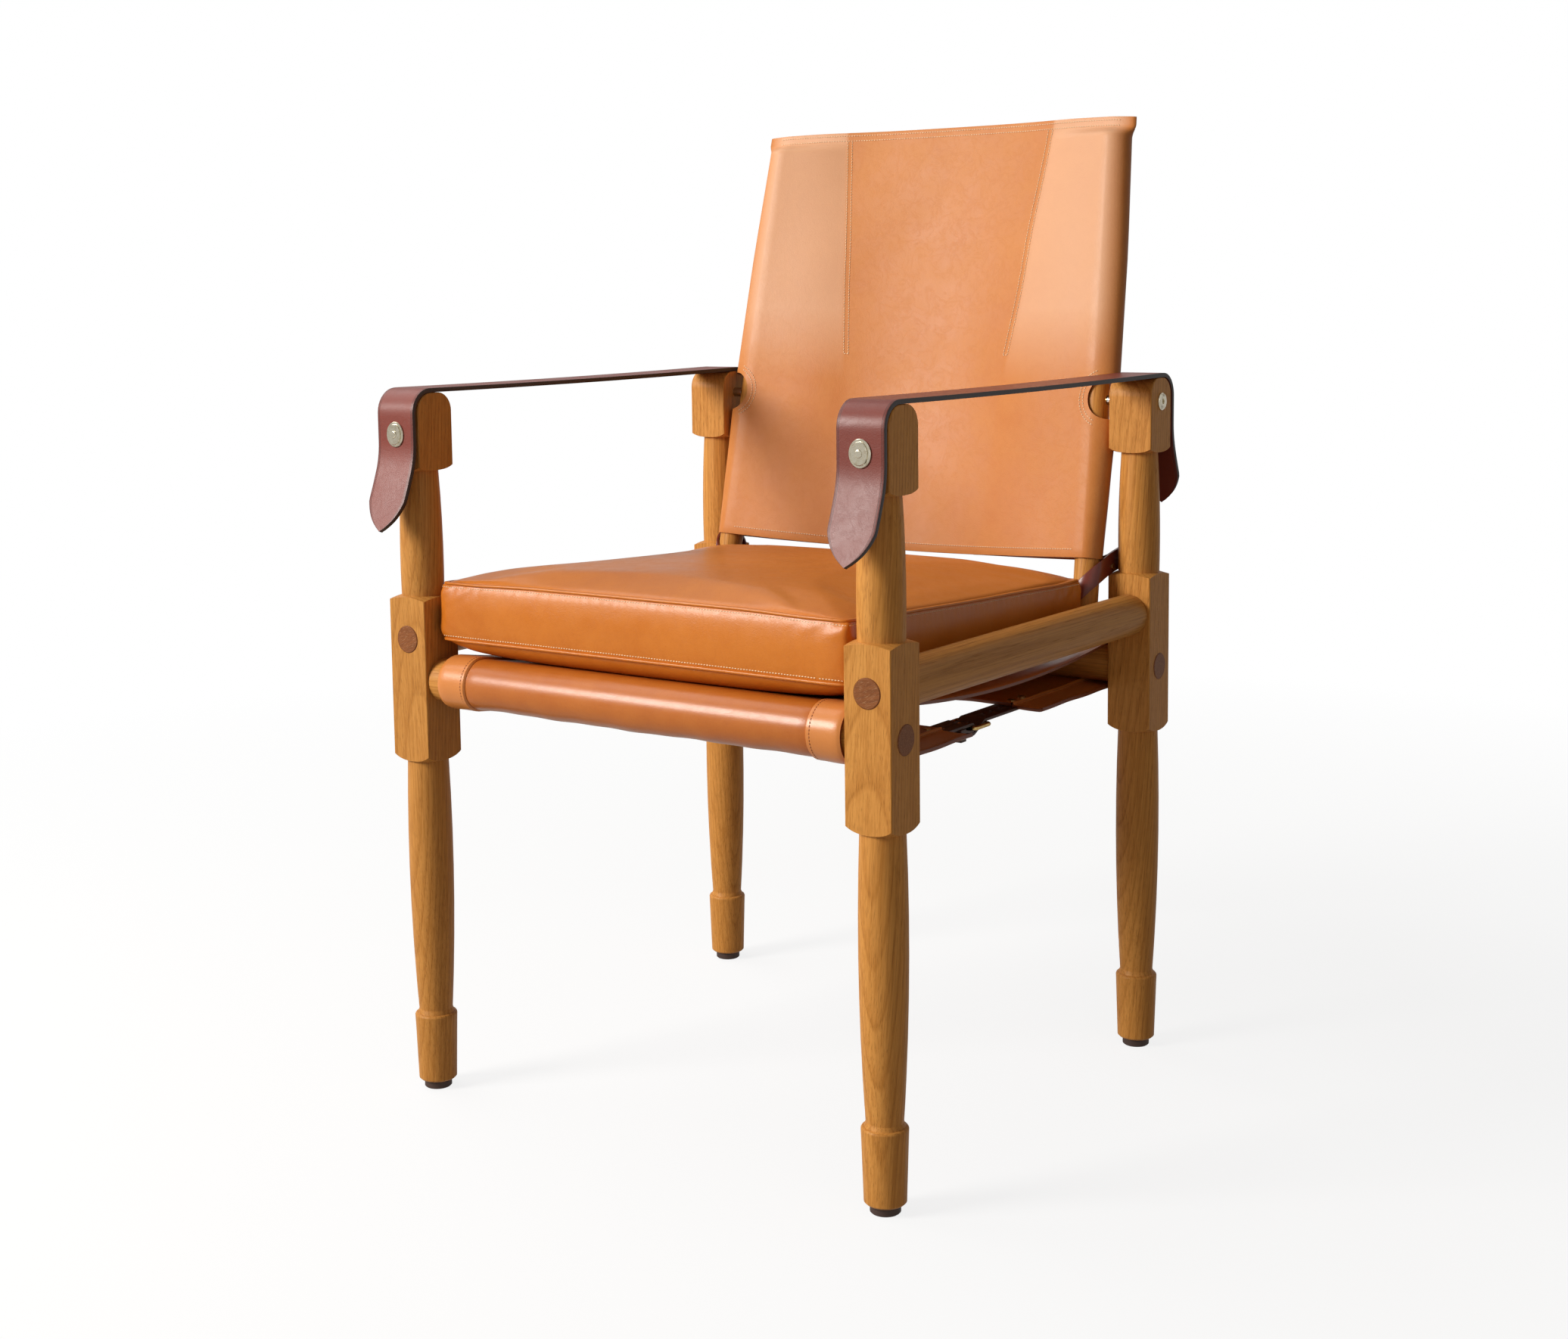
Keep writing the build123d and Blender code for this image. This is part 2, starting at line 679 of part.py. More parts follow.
# Loop straps: a band round the foot of each post, closed by a rivet behind it and screwed to the leg's shaft.
# Places are measured in a plane across the tilted post, from the post's axis.
loop_inner_radius = post_radius + soft_gap + loop_slack
loop_post_x = post_x(loop_middle_z)
loop_post_y = post_y(loop_middle_z)
loop_outside = leg_inside_x + loop_past_leg_line - loop_post_x
loop_centre_x = loop_outside - loop_thickness - loop_inner_radius
loop_centre_y = loop_inner_radius - post_radius - soft_gap
loop_tip_x = loop_outside - loop_thickness - loop_tip_round
loop_tip_y = post_radius + loop_tip_past_post
leg_behind_post = (rear_y - loop_post_y) / tilt_cos
tail_end_y = leg_behind_post + loop_tail_past_leg
tail_outside = side_x - shaft_radius - soft_gap - loop_post_x
tail_lean = atan2(tail_outside - loop_outside, leg_behind_post - loop_tip_y)
rivet_outside = loop_outside + loop_rivet_past_tip * tan(tail_lean)
screw_head_x = loop_post_x + tail_outside - 2 * loop_thickness
screw_end_x = side_x - shaft_radius + loop_screw_length - tenon_end_gap


def loop_rivet_plane(side):
    """Plane on the outer face of a loop strap's tail, at its rivet."""
    across = post_plane(side, loop_middle_z)
    spot = (side * rivet_outside, loop_tip_y + loop_rivet_past_tip, loop_rivet_rise)
    outwards = across.x_dir * (side * cos(tail_lean)) - across.y_dir * sin(tail_lean)
    return Plane(origin=across.from_local_coords(spot), z_dir=outwards)


def loop_screw_plane(side):
    """Plane on the inner face of a loop strap's tail, at its screw."""
    return Plane(origin=(side * screw_head_x, rear_y, loop_screw_z), x_dir=(0, 1, 0), z_dir=(-side, 0, 0))


def make_post_loop(side):
    with BuildPart() as post_loop:
        with BuildSketch(post_plane(side, loop_middle_z)):
            with Locations((side * loop_centre_x, loop_centre_y)):
                Circle(loop_inner_radius + loop_thickness)
            with Locations((side * loop_tip_x, loop_tip_y)):
                Circle(loop_tip_round + loop_thickness)
            make_hull()
            with BuildLine():
                Polyline(
                    (side * (loop_outside - 2 * loop_thickness), loop_tip_y),
                    (side * loop_outside, loop_tip_y),
                    (side * tail_outside, leg_behind_post),
                    (side * tail_outside, tail_end_y),
                    (side * (tail_outside - 2 * loop_thickness), tail_end_y),
                    (side * (tail_outside - 2 * loop_thickness), leg_behind_post),
                    close=True,
                )
            make_face()
        extrude(amount=leg_square, both=True)
        with BuildSketch(post_plane(side, loop_middle_z)):
            with Locations((side * loop_centre_x, loop_centre_y)):
                Circle(loop_inner_radius)
            with Locations((side * loop_tip_x, loop_tip_y)):
                Circle(loop_tip_round)
            make_hull()
        extrude(amount=leg_square + overrun, both=True, mode=Mode.SUBTRACT)
        # The band climbs towards the leg, so it is kept only between two rising curves
        rise_way = Vector(side * sin(radians(loop_rise_yaw)), cos(radians(loop_rise_yaw)), 0)
        with BuildSketch(Plane(origin=(side * loop_post_x, loop_post_y, 0), x_dir=rise_way,
                               z_dir=rise_way.cross(Vector(0, 0, 1)))):
            with BuildLine():
                upper = ThreePointArc(
                    (-loop_front_before, loop_front_z + loop_width / 2),
                    (loop_middle_past, loop_middle_z + loop_width / 2),
                    (loop_end_past, loop_end_z + loop_width / 2),
                )
                lower = ThreePointArc(
                    (loop_end_past, loop_end_z - loop_width / 2),
                    (loop_middle_past, loop_middle_z - loop_width / 2),
                    (-loop_front_before, loop_front_z - loop_width / 2),
                )
                Line(upper @ 1, lower @ 0)
                Line(lower @ 1, upper @ 0)
            make_face()
        extrude(amount=leg_square * 2, both=True, mode=Mode.INTERSECT)
        with Locations(loop_rivet_plane(side)):
            Hole(loop_rivet_radius + fit_gap, 2 * loop_thickness + soft_gap)
        with Locations(loop_screw_plane(side)):
            CounterSinkHole(
                loop_screw_radius + fit_gap, loop_screw_head_radius + fit_gap, depth=3 * loop_thickness,
                counter_sink_angle=loop_screw_head_angle,
            )
    write(post_loop, f"post_loop_{side_names[side]}")


for side in (-1, 1):
    make_post_loop(side)

with BuildPart() as loop_rivets:
    for side in (-1, 1):
        outer_face = loop_rivet_plane(side)
        with BuildSketch(outer_face.offset(fit_gap)):
            Circle(loop_rivet_head_radius)
        extrude(amount=loop_rivet_head_height)
        with BuildSketch(outer_face.offset(-2 * loop_thickness - fit_gap)):
            Circle(loop_rivet_head_radius)
        extrude(amount=-loop_rivet_head_height)
        with BuildSketch(outer_face.offset(fit_gap)):
            Circle(loop_rivet_radius)
        extrude(amount=-2 * loop_thickness - 2 * fit_gap)
write(loop_rivets, "loop_rivets")

with BuildPart() as loop_screws:
    for side in (-1, 1):
        head_depth = (loop_screw_head_radius - loop_screw_radius) / tan(radians(loop_screw_head_angle / 2))
        with BuildSketch(Plane(origin=(side * screw_head_x, rear_y, loop_screw_z), x_dir=(side, 0, 0),
                               z_dir=(0, -side, 0))):
            with BuildLine():
                Polyline(
                    (0, 0), (0, loop_screw_head_radius), (head_depth, loop_screw_radius),
                    (screw_end_x - screw_head_x, loop_screw_radius), (screw_end_x - screw_head_x, 0), close=True
                )
            make_face()
        revolve(axis=Axis((0, rear_y, loop_screw_z), (1, 0, 0)))
write(loop_screws, "loop_screws")


# Seat sling: one sheet over both round rails, hanging between them, its two flaps turned back underneath
wrap_radius = rail_radius + soft_gap + sling_thickness / 2
front_rail = Vector(front_y, front_rail_z)
rear_rail = Vector(rear_y, rear_rail_z)
rails_apart = (rear_rail - front_rail).length
hang_reach = sling_sag / 2 + rails_apart**2 / (8 * sling_sag)
hang_radius = hang_reach - wrap_radius
rails_way = (rear_rail - front_rail).normalized()
hang_up = Vector(-rails_way.Y, rails_way.X)
hang_centre = (front_rail + rear_rail) / 2 + hang_up * (hang_reach - sling_sag)
flap_z = rear_rail_z - wrap_radius
drop_sin = sin(radians(flap_drop_angle))
drop_cos = cos(radians(flap_drop_angle))
front_flap_leave = front_rail + Vector(-drop_sin, -drop_cos) * wrap_radius
front_flap_corner_y = front_flap_leave.X + (front_flap_leave.Y - flap_z) * drop_cos / drop_sin
strap_xs = [-strap_spacing, 0, strap_spacing]
bar_y = front_y + buckle_bar_from_front_rail
front_flap_y = front_y + front_flap_length
rear_flap_y = rear_y - rear_flap_length
chape_rivet_ys = [front_flap_y - rivet_inset, front_flap_y - rivet_inset - rivet_pitch]
billet_rivet_ys = [rear_flap_y + rivet_inset, rear_flap_y + rivet_inset + rivet_pitch]


def flat(point):
    return point.X, point.Y


with BuildPart() as seat_sling:
    with BuildLine(Plane.YZ) as sling_route:
        FilletPolyline(
            (front_flap_y, flap_z), (front_flap_corner_y, flap_z), flat(front_flap_leave), radius=flap_bend_radius
        )
        front_top = flat(front_rail + (hang_centre - front_rail).normalized() * wrap_radius)
        rear_top = flat(rear_rail + (hang_centre - rear_rail).normalized() * wrap_radius)
        rear_bottom = (rear_y, flap_z)
        ThreePointArc(flat(front_flap_leave), (front_y - wrap_radius, front_rail_z), front_top)
        ThreePointArc(front_top, flat(hang_centre - hang_up * hang_radius), rear_top)
        ThreePointArc(rear_top, (rear_y + wrap_radius, rear_rail_z), rear_bottom)
        Line(rear_bottom, (rear_flap_y, flap_z))
    with BuildSketch(Plane(origin=sling_route.line @ 0, x_dir=(1, 0, 0), z_dir=sling_route.line % 0)):
        Rectangle(sling_width, sling_thickness)
    sweep(path=sling_route.line)
    for x in strap_xs:
        for y in chape_rivet_ys + billet_rivet_ys:
            with Locations(Plane((x, y, flap_z + sling_thickness / 2))):
                Hole(rivet_radius + fit_gap, sling_thickness + soft_gap)
write(seat_sling, "seat_sling")


# Three buckled straps under the seat. Heights are middles of a layer, downwards from the flaps' undersides.
strap_z = flap_z - sling_thickness / 2 - fit_gap - strap_thickness / 2
fold_radius = buckle_bar_radius + fit_gap + strap_thickness / 2
bar_z = strap_z - fold_radius
chape_low_z = bar_z - fold_radius
chape_level_z = strap_z - strap_thickness - keeper_wall - 2 * fit_gap
billet_tip_z = chape_low_z - strap_thickness - soft_gap
far_bar_y = bar_y + buckle_bar_spacing
billet_down_y = bar_y + billet_step_clear
billet_level_y = far_bar_y - billet_step_clear


def make_chape(number, x):
    start_y = bar_y - chape_length
    with BuildPart() as chape:
        with BuildLine(Plane.YZ.offset(x)) as route:
            upper = Line((start_y, strap_z), (bar_y, strap_z))
            ThreePointArc(upper @ 1, (bar_y + fold_radius, bar_z), (bar_y, chape_low_z))
            FilletPolyline(
                (bar_y, chape_low_z), (bar_y - chape_join_start, chape_low_z), (bar_y - chape_join, chape_level_z),
                (start_y, chape_level_z), radius=chape_join_radius,
            )
        with BuildSketch(Plane(origin=route.line @ 0, x_dir=(1, 0, 0), z_dir=route.line % 0)):
            Rectangle(strap_width, strap_thickness)
        sweep(path=route.line)
        with BuildSketch(Plane((x, bar_y, bar_z))):
            SlotOverall(chape_slot_length + chape_slot_width, chape_slot_width, rotation=90)
        extrude(amount=overrun, both=True, mode=Mode.SUBTRACT)
        for y in chape_rivet_ys:
            with Locations(Plane((x, y, flap_z))):
                Hole(rivet_radius + fit_gap, overrun)
    write(chape, f"sling_chape_{number}")


def make_buckle(number, x):
    half_x = buckle_inner_width / 2 + buckle_bar_radius
    with BuildPart() as frame:
        with BuildLine(Plane((x, bar_y, bar_z))) as route:
            FilletPolyline(
                (-half_x, 0), (half_x, 0), (half_x, buckle_bar_spacing), (-half_x, buckle_bar_spacing),
                radius=buckle_corner_radius, close=True,
            )
        with BuildSketch(Plane(origin=route.line @ 0, z_dir=route.line % 0)):
            Circle(buckle_bar_radius)
        sweep(path=route.line)
    write(frame, f"buckle_frame_{number}")

    ring_radius = buckle_bar_radius + fit_gap + tongue_ring_wall
    arm_top = -buckle_bar_radius - fit_gap
    with BuildPart() as tongue:
        with BuildSketch(Plane(origin=(x, bar_y, bar_z), x_dir=(0, 1, 0), z_dir=(1, 0, 0))):
            Circle(ring_radius)
            with BuildLine():
                Polyline(
                    (0, -ring_radius),
                    (buckle_bar_spacing, arm_top - tongue_thickness),
                    (buckle_bar_spacing + tongue_past_bar, arm_top - tongue_thickness),
                    (buckle_bar_spacing + tongue_past_bar, arm_top),
                    (ring_radius, arm_top),
                    (0, 0),
                    close=True,
                )
            make_face()
            Circle(buckle_bar_radius + fit_gap, mode=Mode.SUBTRACT)
        extrude(amount=tongue_width / 2, both=True)
    write(tongue, f"buckle_tongue_{number}")


def make_billet(number, x):
    start_y = rear_flap_y + billet_overlap
    tip_y = bar_y - billet_tip_length
    with BuildPart() as billet:
        with BuildLine(Plane.YZ.offset(x)) as route:
            FilletPolyline(
                (start_y, strap_z), (billet_level_y, strap_z), (billet_down_y, billet_tip_z), (tip_y, billet_tip_z),
                radius=billet_bend_radius,
            )
        with BuildSketch(Plane(origin=route.line @ 0, x_dir=(1, 0, 0), z_dir=route.line % 0)):
            Rectangle(strap_width, strap_thickness)
        sweep(path=route.line)
        # The pointed tip, the round holes and the working hole, cut from above
        half = strap_width / 2
        with BuildSketch(Plane((x, tip_y, flap_z))):
            with BuildLine():
                Polyline((-half, start_y - tip_y), (-half, billet_point_length), (0, 0),
                         (half, billet_point_length), (half, start_y - tip_y), close=True)
            make_face()
        extrude(amount=-overrun, mode=Mode.INTERSECT)
        with BuildSketch(Plane((x, bar_y, flap_z))):
            with Locations((0, (billet_slot_start + billet_slot_end) / 2)):
                SlotOverall(billet_slot_end - billet_slot_start, 2 * billet_hole_radius, rotation=90)
            for count in range(billet_hole_count):
                with Locations((0, buckle_bar_spacing + billet_hole_pitch * (count + 1))):
                    Circle(billet_hole_radius)
            with Locations((0, -billet_hole_pitch), (0, tip_y - bar_y + billet_hole_pitch)):
                Circle(billet_hole_radius)
        extrude(amount=-overrun, mode=Mode.SUBTRACT)
        for y in billet_rivet_ys:
            with Locations(Plane((x, y, flap_z))):
                Hole(rivet_radius + fit_gap, overrun)
    write(billet, f"sling_billet_{number}")


def make_keeper(number, x):
    inner_x = strap_width / 2 + soft_gap
    inner_top = chape_level_z + strap_thickness / 2 + fit_gap
    inner_bottom = billet_tip_z - strap_thickness / 2 - soft_gap
    with BuildPart() as keeper:
        with BuildSketch(Plane(origin=(x, bar_y - keeper_from_bar, (inner_top + inner_bottom) / 2),
                               x_dir=(1, 0, 0), z_dir=(0, -1, 0))):
            Rectangle(2 * (inner_x + keeper_wall), inner_top - inner_bottom + 2 * keeper_wall)
            Rectangle(2 * inner_x, inner_top - inner_bottom, mode=Mode.SUBTRACT)
        extrude(amount=keeper_width)
    write(keeper, f"strap_keeper_{number}")


for index, x in enumerate(strap_xs):
    make_chape(index + 1, x)
    make_buckle(index + 1, x)
    make_billet(index + 1, x)
    make_keeper(index + 1, x)

# Rivets: two through the front flap and both layers of each chape, two through the rear flap and each billet
with BuildPart() as sling_rivets:
    top_z = flap_z + sling_thickness / 2 + fit_gap
    rivet_spots = [(y, chape_level_z) for y in chape_rivet_ys] + [(y, strap_z) for y in billet_rivet_ys]
    for x in strap_xs:
        for y, lowest_layer in rivet_spots:
            bottom_z = lowest_layer - strap_thickness / 2 - fit_gap
            with BuildSketch(Plane((x, y, top_z))):
                Circle(rivet_head_radius)
            extrude(amount=rivet_head_height)
            with BuildSketch(Plane((x, y, bottom_z))):
                Circle(rivet_head_radius)
            extrude(amount=-rivet_head_height)
            with BuildSketch(Plane((x, y, bottom_z))):
                Circle(rivet_radius)
            extrude(amount=top_z - bottom_z)
write(sling_rivets, "sling_rivets")


# Cushion: a boxed edge between two lips, crowned above, and swelling below until it rests on the sling
slope_sin = sin(radians(cushion_slope))
slope_cos = cos(radians(cushion_slope))
cushion_front_y = front_y - cushion_front_overhang
cushion_middle_y = cushion_front_y + cushion_depth / 2 * slope_cos
cushion_top_z = cushion_front_seam_z - cushion_depth / 2 * slope_sin


def cushion_plane(height):
    """Plane at a height above the upper seam, sloping down to the rear."""
    origin = Vector(0, cushion_middle_y, cushion_top_z) + Vector(0, slope_sin, slope_cos) * height
    return Plane(origin=origin, x_dir=(1, 0, 0), z_dir=(0, slope_sin, slope_cos))


def cushion_outline(share, grow):
    """Outline with drawn-in sides and rounded corners, at a share of the full size."""
    half_x = cushion_width / 2 * share + grow
    half_y = cushion_depth / 2 * share + grow
    draw_x = half_x - cushion_draw_in * share
    draw_y = half_y - cushion_draw_in * share
    with BuildSketch(mode=Mode.PRIVATE) as outline:
        with BuildLine():
            ThreePointArc((-half_x, -half_y), (0, -draw_y), (half_x, -half_y))
            ThreePointArc((half_x, -half_y), (draw_x, 0), (half_x, half_y))
            ThreePointArc((half_x, half_y), (0, draw_y), (-half_x, half_y))
            ThreePointArc((-half_x, half_y), (-draw_x, 0), (-half_x, -half_y))
        make_face()
        fillet(outline.vertices(), cushion_corner_radius * share)
    return outline.sketch


with BuildPart() as seat_cushion:
    with BuildSketch(cushion_plane(-cushion_boxing)):
        add(cushion_outline(1, 0))
    extrude(amount=cushion_boxing)
    for height, crown in ((0, cushion_top_crown), (-cushion_boxing, -cushion_bottom_crown)):
        with BuildSketch(cushion_plane(height)):
            add(cushion_outline(1, 0))
        with BuildSketch(cushion_plane(height + crown * cushion_shoulder_height_share)):
            add(cushion_outline(cushion_shoulder_share, 0))
        with BuildSketch(cushion_plane(height + crown)):
            add(cushion_outline(cushion_middle_share, 0))
        loft()
        with BuildSketch(cushion_plane(height - cushion_lip_thickness / 2)):
            add(cushion_outline(1, cushion_lip_out))
        extrude(amount=cushion_lip_thickness)
    # The underside lies on the sling and takes its curve
    with BuildSketch(Plane.YZ):
        with BuildLine():
            rest_radius = hang_radius - sling_thickness / 2 - soft_gap
            to_front = (front_rail - hang_centre).normalized() * rest_radius + hang_centre
            to_rear = (rear_rail - hang_centre).normalized() * rest_radius + hang_centre
            ThreePointArc(flat(to_front), flat(hang_centre - hang_up * rest_radius), flat(to_rear))
            Polyline(flat(to_rear), (rear_y, flap_z), (front_y, flap_z), flat(to_front))
        make_face()
    extrude(amount=cushion_width, both=True, mode=Mode.SUBTRACT)
write(seat_cushion, "seat_cushion")
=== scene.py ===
import bpy, bmesh, json, math
from functools import partial
from mathutils import Euler, Matrix, Vector


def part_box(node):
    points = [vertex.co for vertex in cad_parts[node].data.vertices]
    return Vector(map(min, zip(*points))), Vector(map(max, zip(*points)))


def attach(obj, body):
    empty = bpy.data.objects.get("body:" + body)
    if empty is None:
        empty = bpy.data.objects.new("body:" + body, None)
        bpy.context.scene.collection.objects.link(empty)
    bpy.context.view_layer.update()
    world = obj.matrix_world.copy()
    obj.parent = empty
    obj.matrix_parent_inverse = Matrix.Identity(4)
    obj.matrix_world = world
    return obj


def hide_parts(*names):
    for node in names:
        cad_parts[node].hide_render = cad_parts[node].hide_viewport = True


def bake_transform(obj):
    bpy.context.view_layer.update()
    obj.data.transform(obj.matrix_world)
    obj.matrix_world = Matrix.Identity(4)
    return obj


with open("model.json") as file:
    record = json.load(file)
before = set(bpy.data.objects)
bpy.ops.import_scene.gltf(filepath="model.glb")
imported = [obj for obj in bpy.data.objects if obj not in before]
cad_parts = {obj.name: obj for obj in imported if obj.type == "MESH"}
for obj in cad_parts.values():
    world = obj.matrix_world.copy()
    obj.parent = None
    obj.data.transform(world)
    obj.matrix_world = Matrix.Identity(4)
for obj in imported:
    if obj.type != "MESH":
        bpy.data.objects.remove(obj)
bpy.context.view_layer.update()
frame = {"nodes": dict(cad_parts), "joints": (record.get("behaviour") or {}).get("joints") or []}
nodes = frame["nodes"]
print("stage: frame loaded,", len(nodes), "nodes")


# small node helpers
def setAll(owner, settings):
    for key, value in settings.items():
        setattr(owner, key, value)


def addNode(tree, kind, values=None, **settings):
    node = tree.nodes.new("ShaderNode" + kind)
    setAll(node, settings)
    for key, value in (values or {}).items():
        node.inputs[key].default_value = value
    return node


def feed(tree, sockets, items):
    # a socket takes either a fixed value or a link
    for socket, item in zip(sockets, items):
        if isinstance(item, (int, float, tuple)):
            socket.default_value = item
        else:
            tree.links.new(item, socket)


def mathNode(tree, operation, *items, clamp=False):
    node = addNode(tree, "Math", operation=operation, use_clamp=clamp)
    feed(tree, node.inputs, items)
    return node.outputs[0]


def vectorNode(tree, operation, *items):
    node = addNode(tree, "VectorMath", operation=operation)
    feed(tree, node.inputs, items)
    return node.outputs


def mixColor(tree, factor, a, b):
    node = addNode(tree, "Mix", data_type="RGBA")
    feed(tree, [node.inputs[k] for k in (0, 6, 7)], (factor, a, b))
    return node.outputs[2]


def ramp(tree, value, stops):
    node = tree.nodes.new("ShaderNodeValToRGB")
    while len(node.color_ramp.elements) < len(stops):
        node.color_ramp.elements.new(0.5)
    for element, (place, shade) in zip(node.color_ramp.elements, stops):
        element.position = place
        element.color = (shade, shade, shade, 1)
    tree.links.new(value, node.inputs[0])
    return node.outputs[0]


def noiseNode(tree, place, scale, detail, roughness, distortion=0, turn=(0, 0, 0)):
    # a scale for each axis stretches the noise
    if isinstance(scale, tuple):
        stretch = addNode(tree, "Mapping", {"Scale": scale, "Rotation": turn})
        tree.links.new(place, stretch.inputs["Vector"])
        place, scale = stretch.outputs[0], 1
    values = {"Scale": scale, "Detail": detail, "Roughness": roughness, "Distortion": distortion}
    field = addNode(tree, "TexNoise", values)
    tree.links.new(place, field.inputs["Vector"])
    return field.outputs["Fac"]


def bound(tree):
    return [partial(tool, tree) for tool in (mathNode, mixColor, ramp, noiseNode)] + [tree.links.new]


def emptyTree(owner):
    owner.use_nodes = True
    owner.node_tree.nodes.clear()
    return owner.node_tree


def joinShaders(tree, output, factor, first, second):
    mix = tree.nodes.new("ShaderNodeMixShader")
    feed(tree, mix.inputs, (factor, first.outputs[0], second.outputs[0]))
    out = tree.nodes.new("ShaderNodeOutput" + output)
    tree.links.new(mix.outputs[0], out.inputs[0])


# camera, floor and light
view = dict(place=(1.1577, -1.6868, 0.7646), turn=0.6269, tilt=0.1135, roll=-0.0145)
lens = dict(sensor_width=36, sensor_fit="HORIZONTAL", lens=49.18, shift_x=0.02727, shift_y=-0.0913, clip_start=0.05)
stageLook = dict(floorColor=(0.42, 0.39, 0.35, 1), paperColor=(0.96, 0.96, 0.96, 1), floorSize=40,
                 seenWhite=0.84, shadowReach=(0.7, 2.2), mirrored=0.5, ambient=0.16, air=(1.0, 0.91, 0.78, 1))
lamps = dict(
    key=dict(place=(-1.9, -2.85, 2.0), aim=(0, 0, 0.55), light=dict(size=1.5, energy=143, color=(1.0, 0.965, 0.92))),
    fill=dict(place=(2.6, -1.4, 1.2), aim=(0, 0, 0.5), light=dict(size=2.2, energy=4, color=(1.0, 0.97, 0.93))),
    sky=dict(place=(-1.9, -0.1, 2.7), aim=(0, 0, 0.5), light=dict(size=2.4, energy=30, color=(1, 0.99, 0.97))),
)


def deselect():
    if bpy.context.object and bpy.context.object.mode != "OBJECT":
        bpy.ops.object.mode_set(mode="OBJECT")
    bpy.ops.object.select_all(action="DESELECT")


def pick(piece):
    deselect()
    bpy.context.view_layer.objects.active = piece
    piece.select_set(True)


def aimAt(obj, target):
    obj.rotation_euler = (Vector(target) - obj.location).to_track_quat("-Z", "Y").to_euler()


def makeCamera():
    deselect()
    bpy.ops.object.camera_add(location=view["place"])
    camera = bpy.context.object
    camera.name = "photoCamera"
    setAll(camera.data, lens)
    level = Euler((math.pi / 2 - view["tilt"], 0, view["turn"])).to_matrix()
    camera.rotation_euler = (level @ Matrix.Rotation(view["roll"], 3, "Z")).to_euler()
    bpy.context.scene.camera = camera
    bpy.context.scene.view_settings.view_transform = "Standard"


def seenRays(tree):
    path = tree.nodes.new("ShaderNodeLightPath")
    shiny = mathNode(tree, "MULTIPLY", path.outputs["Is Glossy Ray"], stageLook["mirrored"])
    either = mathNode(tree, "MAXIMUM", path.outputs["Is Camera Ray"], shiny)
    return mathNode(tree, "MAXIMUM", either, path.outputs["Is Transmission Ray"]), path.outputs["Is Camera Ray"]


def makePaper():
    # the camera sees the paper nearly white, with the chair's shadow left on it, and pure white further out
    mat = bpy.data.materials.new("studioPaper")
    tree = emptyTree(mat)
    calc, mix, _, _, link = bound(tree)
    rays, camera = seenRays(tree)
    coords = tree.nodes.new("ShaderNodeTexCoord")
    reach = vectorNode(tree, "LENGTH", coords.outputs["Object"])["Value"]
    near, far = stageLook["shadowReach"]
    share = calc("DIVIDE", calc("SUBTRACT", reach, near), far - near, clamp=True)
    white = stageLook["seenWhite"]
    amount = calc("MULTIPLY", rays, calc("MULTIPLY_ADD", share, 1 - white, white))
    lit, seen = addNode(tree, "BsdfDiffuse"), addNode(tree, "Emission")
    link(mix(camera, stageLook["floorColor"], stageLook["paperColor"]), lit.inputs["Color"])
    joinShaders(tree, "Material", amount, lit, seen)
    return mat


def makeStage():
    deselect()
    bpy.ops.mesh.primitive_plane_add(size=stageLook["floorSize"], location=(0, 0, 0))
    floor = bpy.context.object
    floor.name = "studioFloor"
    floor.data.materials.append(makePaper())
    world = bpy.data.worlds.new("studioAir")
    bpy.context.scene.world = world
    tree = emptyTree(world)
    lit = addNode(tree, "Background", {"Color": stageLook["air"], "Strength": stageLook["ambient"]})
    shown = addNode(tree, "Background", {"Color": (1, 1, 1, 1), "Strength": 1})
    joinShaders(tree, "World", seenRays(tree)[0], lit, shown)
    for name, lamp in lamps.items():
        deselect()
        bpy.ops.object.light_add(type="AREA", location=lamp["place"])
        light = bpy.context.object
        light.name = name + "Lamp"
        setAll(light.data, dict(lamp["light"], shape="DISK"))
        aimAt(light, lamp["aim"])


makeCamera()
makeStage()
print("stage: camera, floor and lamps")


# shared shader groups: each puts out a colour, a height and a roughness
oakLook = dict(drift=(9, 9, 1.6), wobble=0.022, tone=(30, 30, 3), pore=(2100, 2100, 34), fibre=(640, 640, 4),
               ray=(420, 420, 110), rings=[(0, 1), (0.10, 0.55), (0.36, 0.08), (0.88, 0), (1, 1)])
skinLook = dict(cloud=7, patch=38, speck=420, veins=55, pebble=1150)
# metal: spots that are partly wear and partly painted dark reflection, and fine scratches in the bump
wearAndReflectionLook = dict(spot=260, scratch=(300, 2400, 900), turn=(0.3, 0.5, 0.2))


def newGroup(name, values):
    group = bpy.data.node_groups.new(name, "ShaderNodeTree")
    face = group.interface
    face.new_socket(name="Vector", in_out="INPUT", socket_type="NodeSocketVector")
    for label, value in values.items():
        kind = {1: "Float", 3: "Vector", 4: "Color"}[len(value) if isinstance(value, tuple) else 1]
        face.new_socket(name=label, in_out="INPUT", socket_type="NodeSocket" + kind).default_value = value
    for label, kind in (("Color", "Color"), ("Height", "Float"), ("Rough", "Float")):
        face.new_socket(name=label, in_out="OUTPUT", socket_type="NodeSocket" + kind)
    return group, group.nodes.new("NodeGroupInput").outputs, group.nodes.new("NodeGroupOutput").inputs


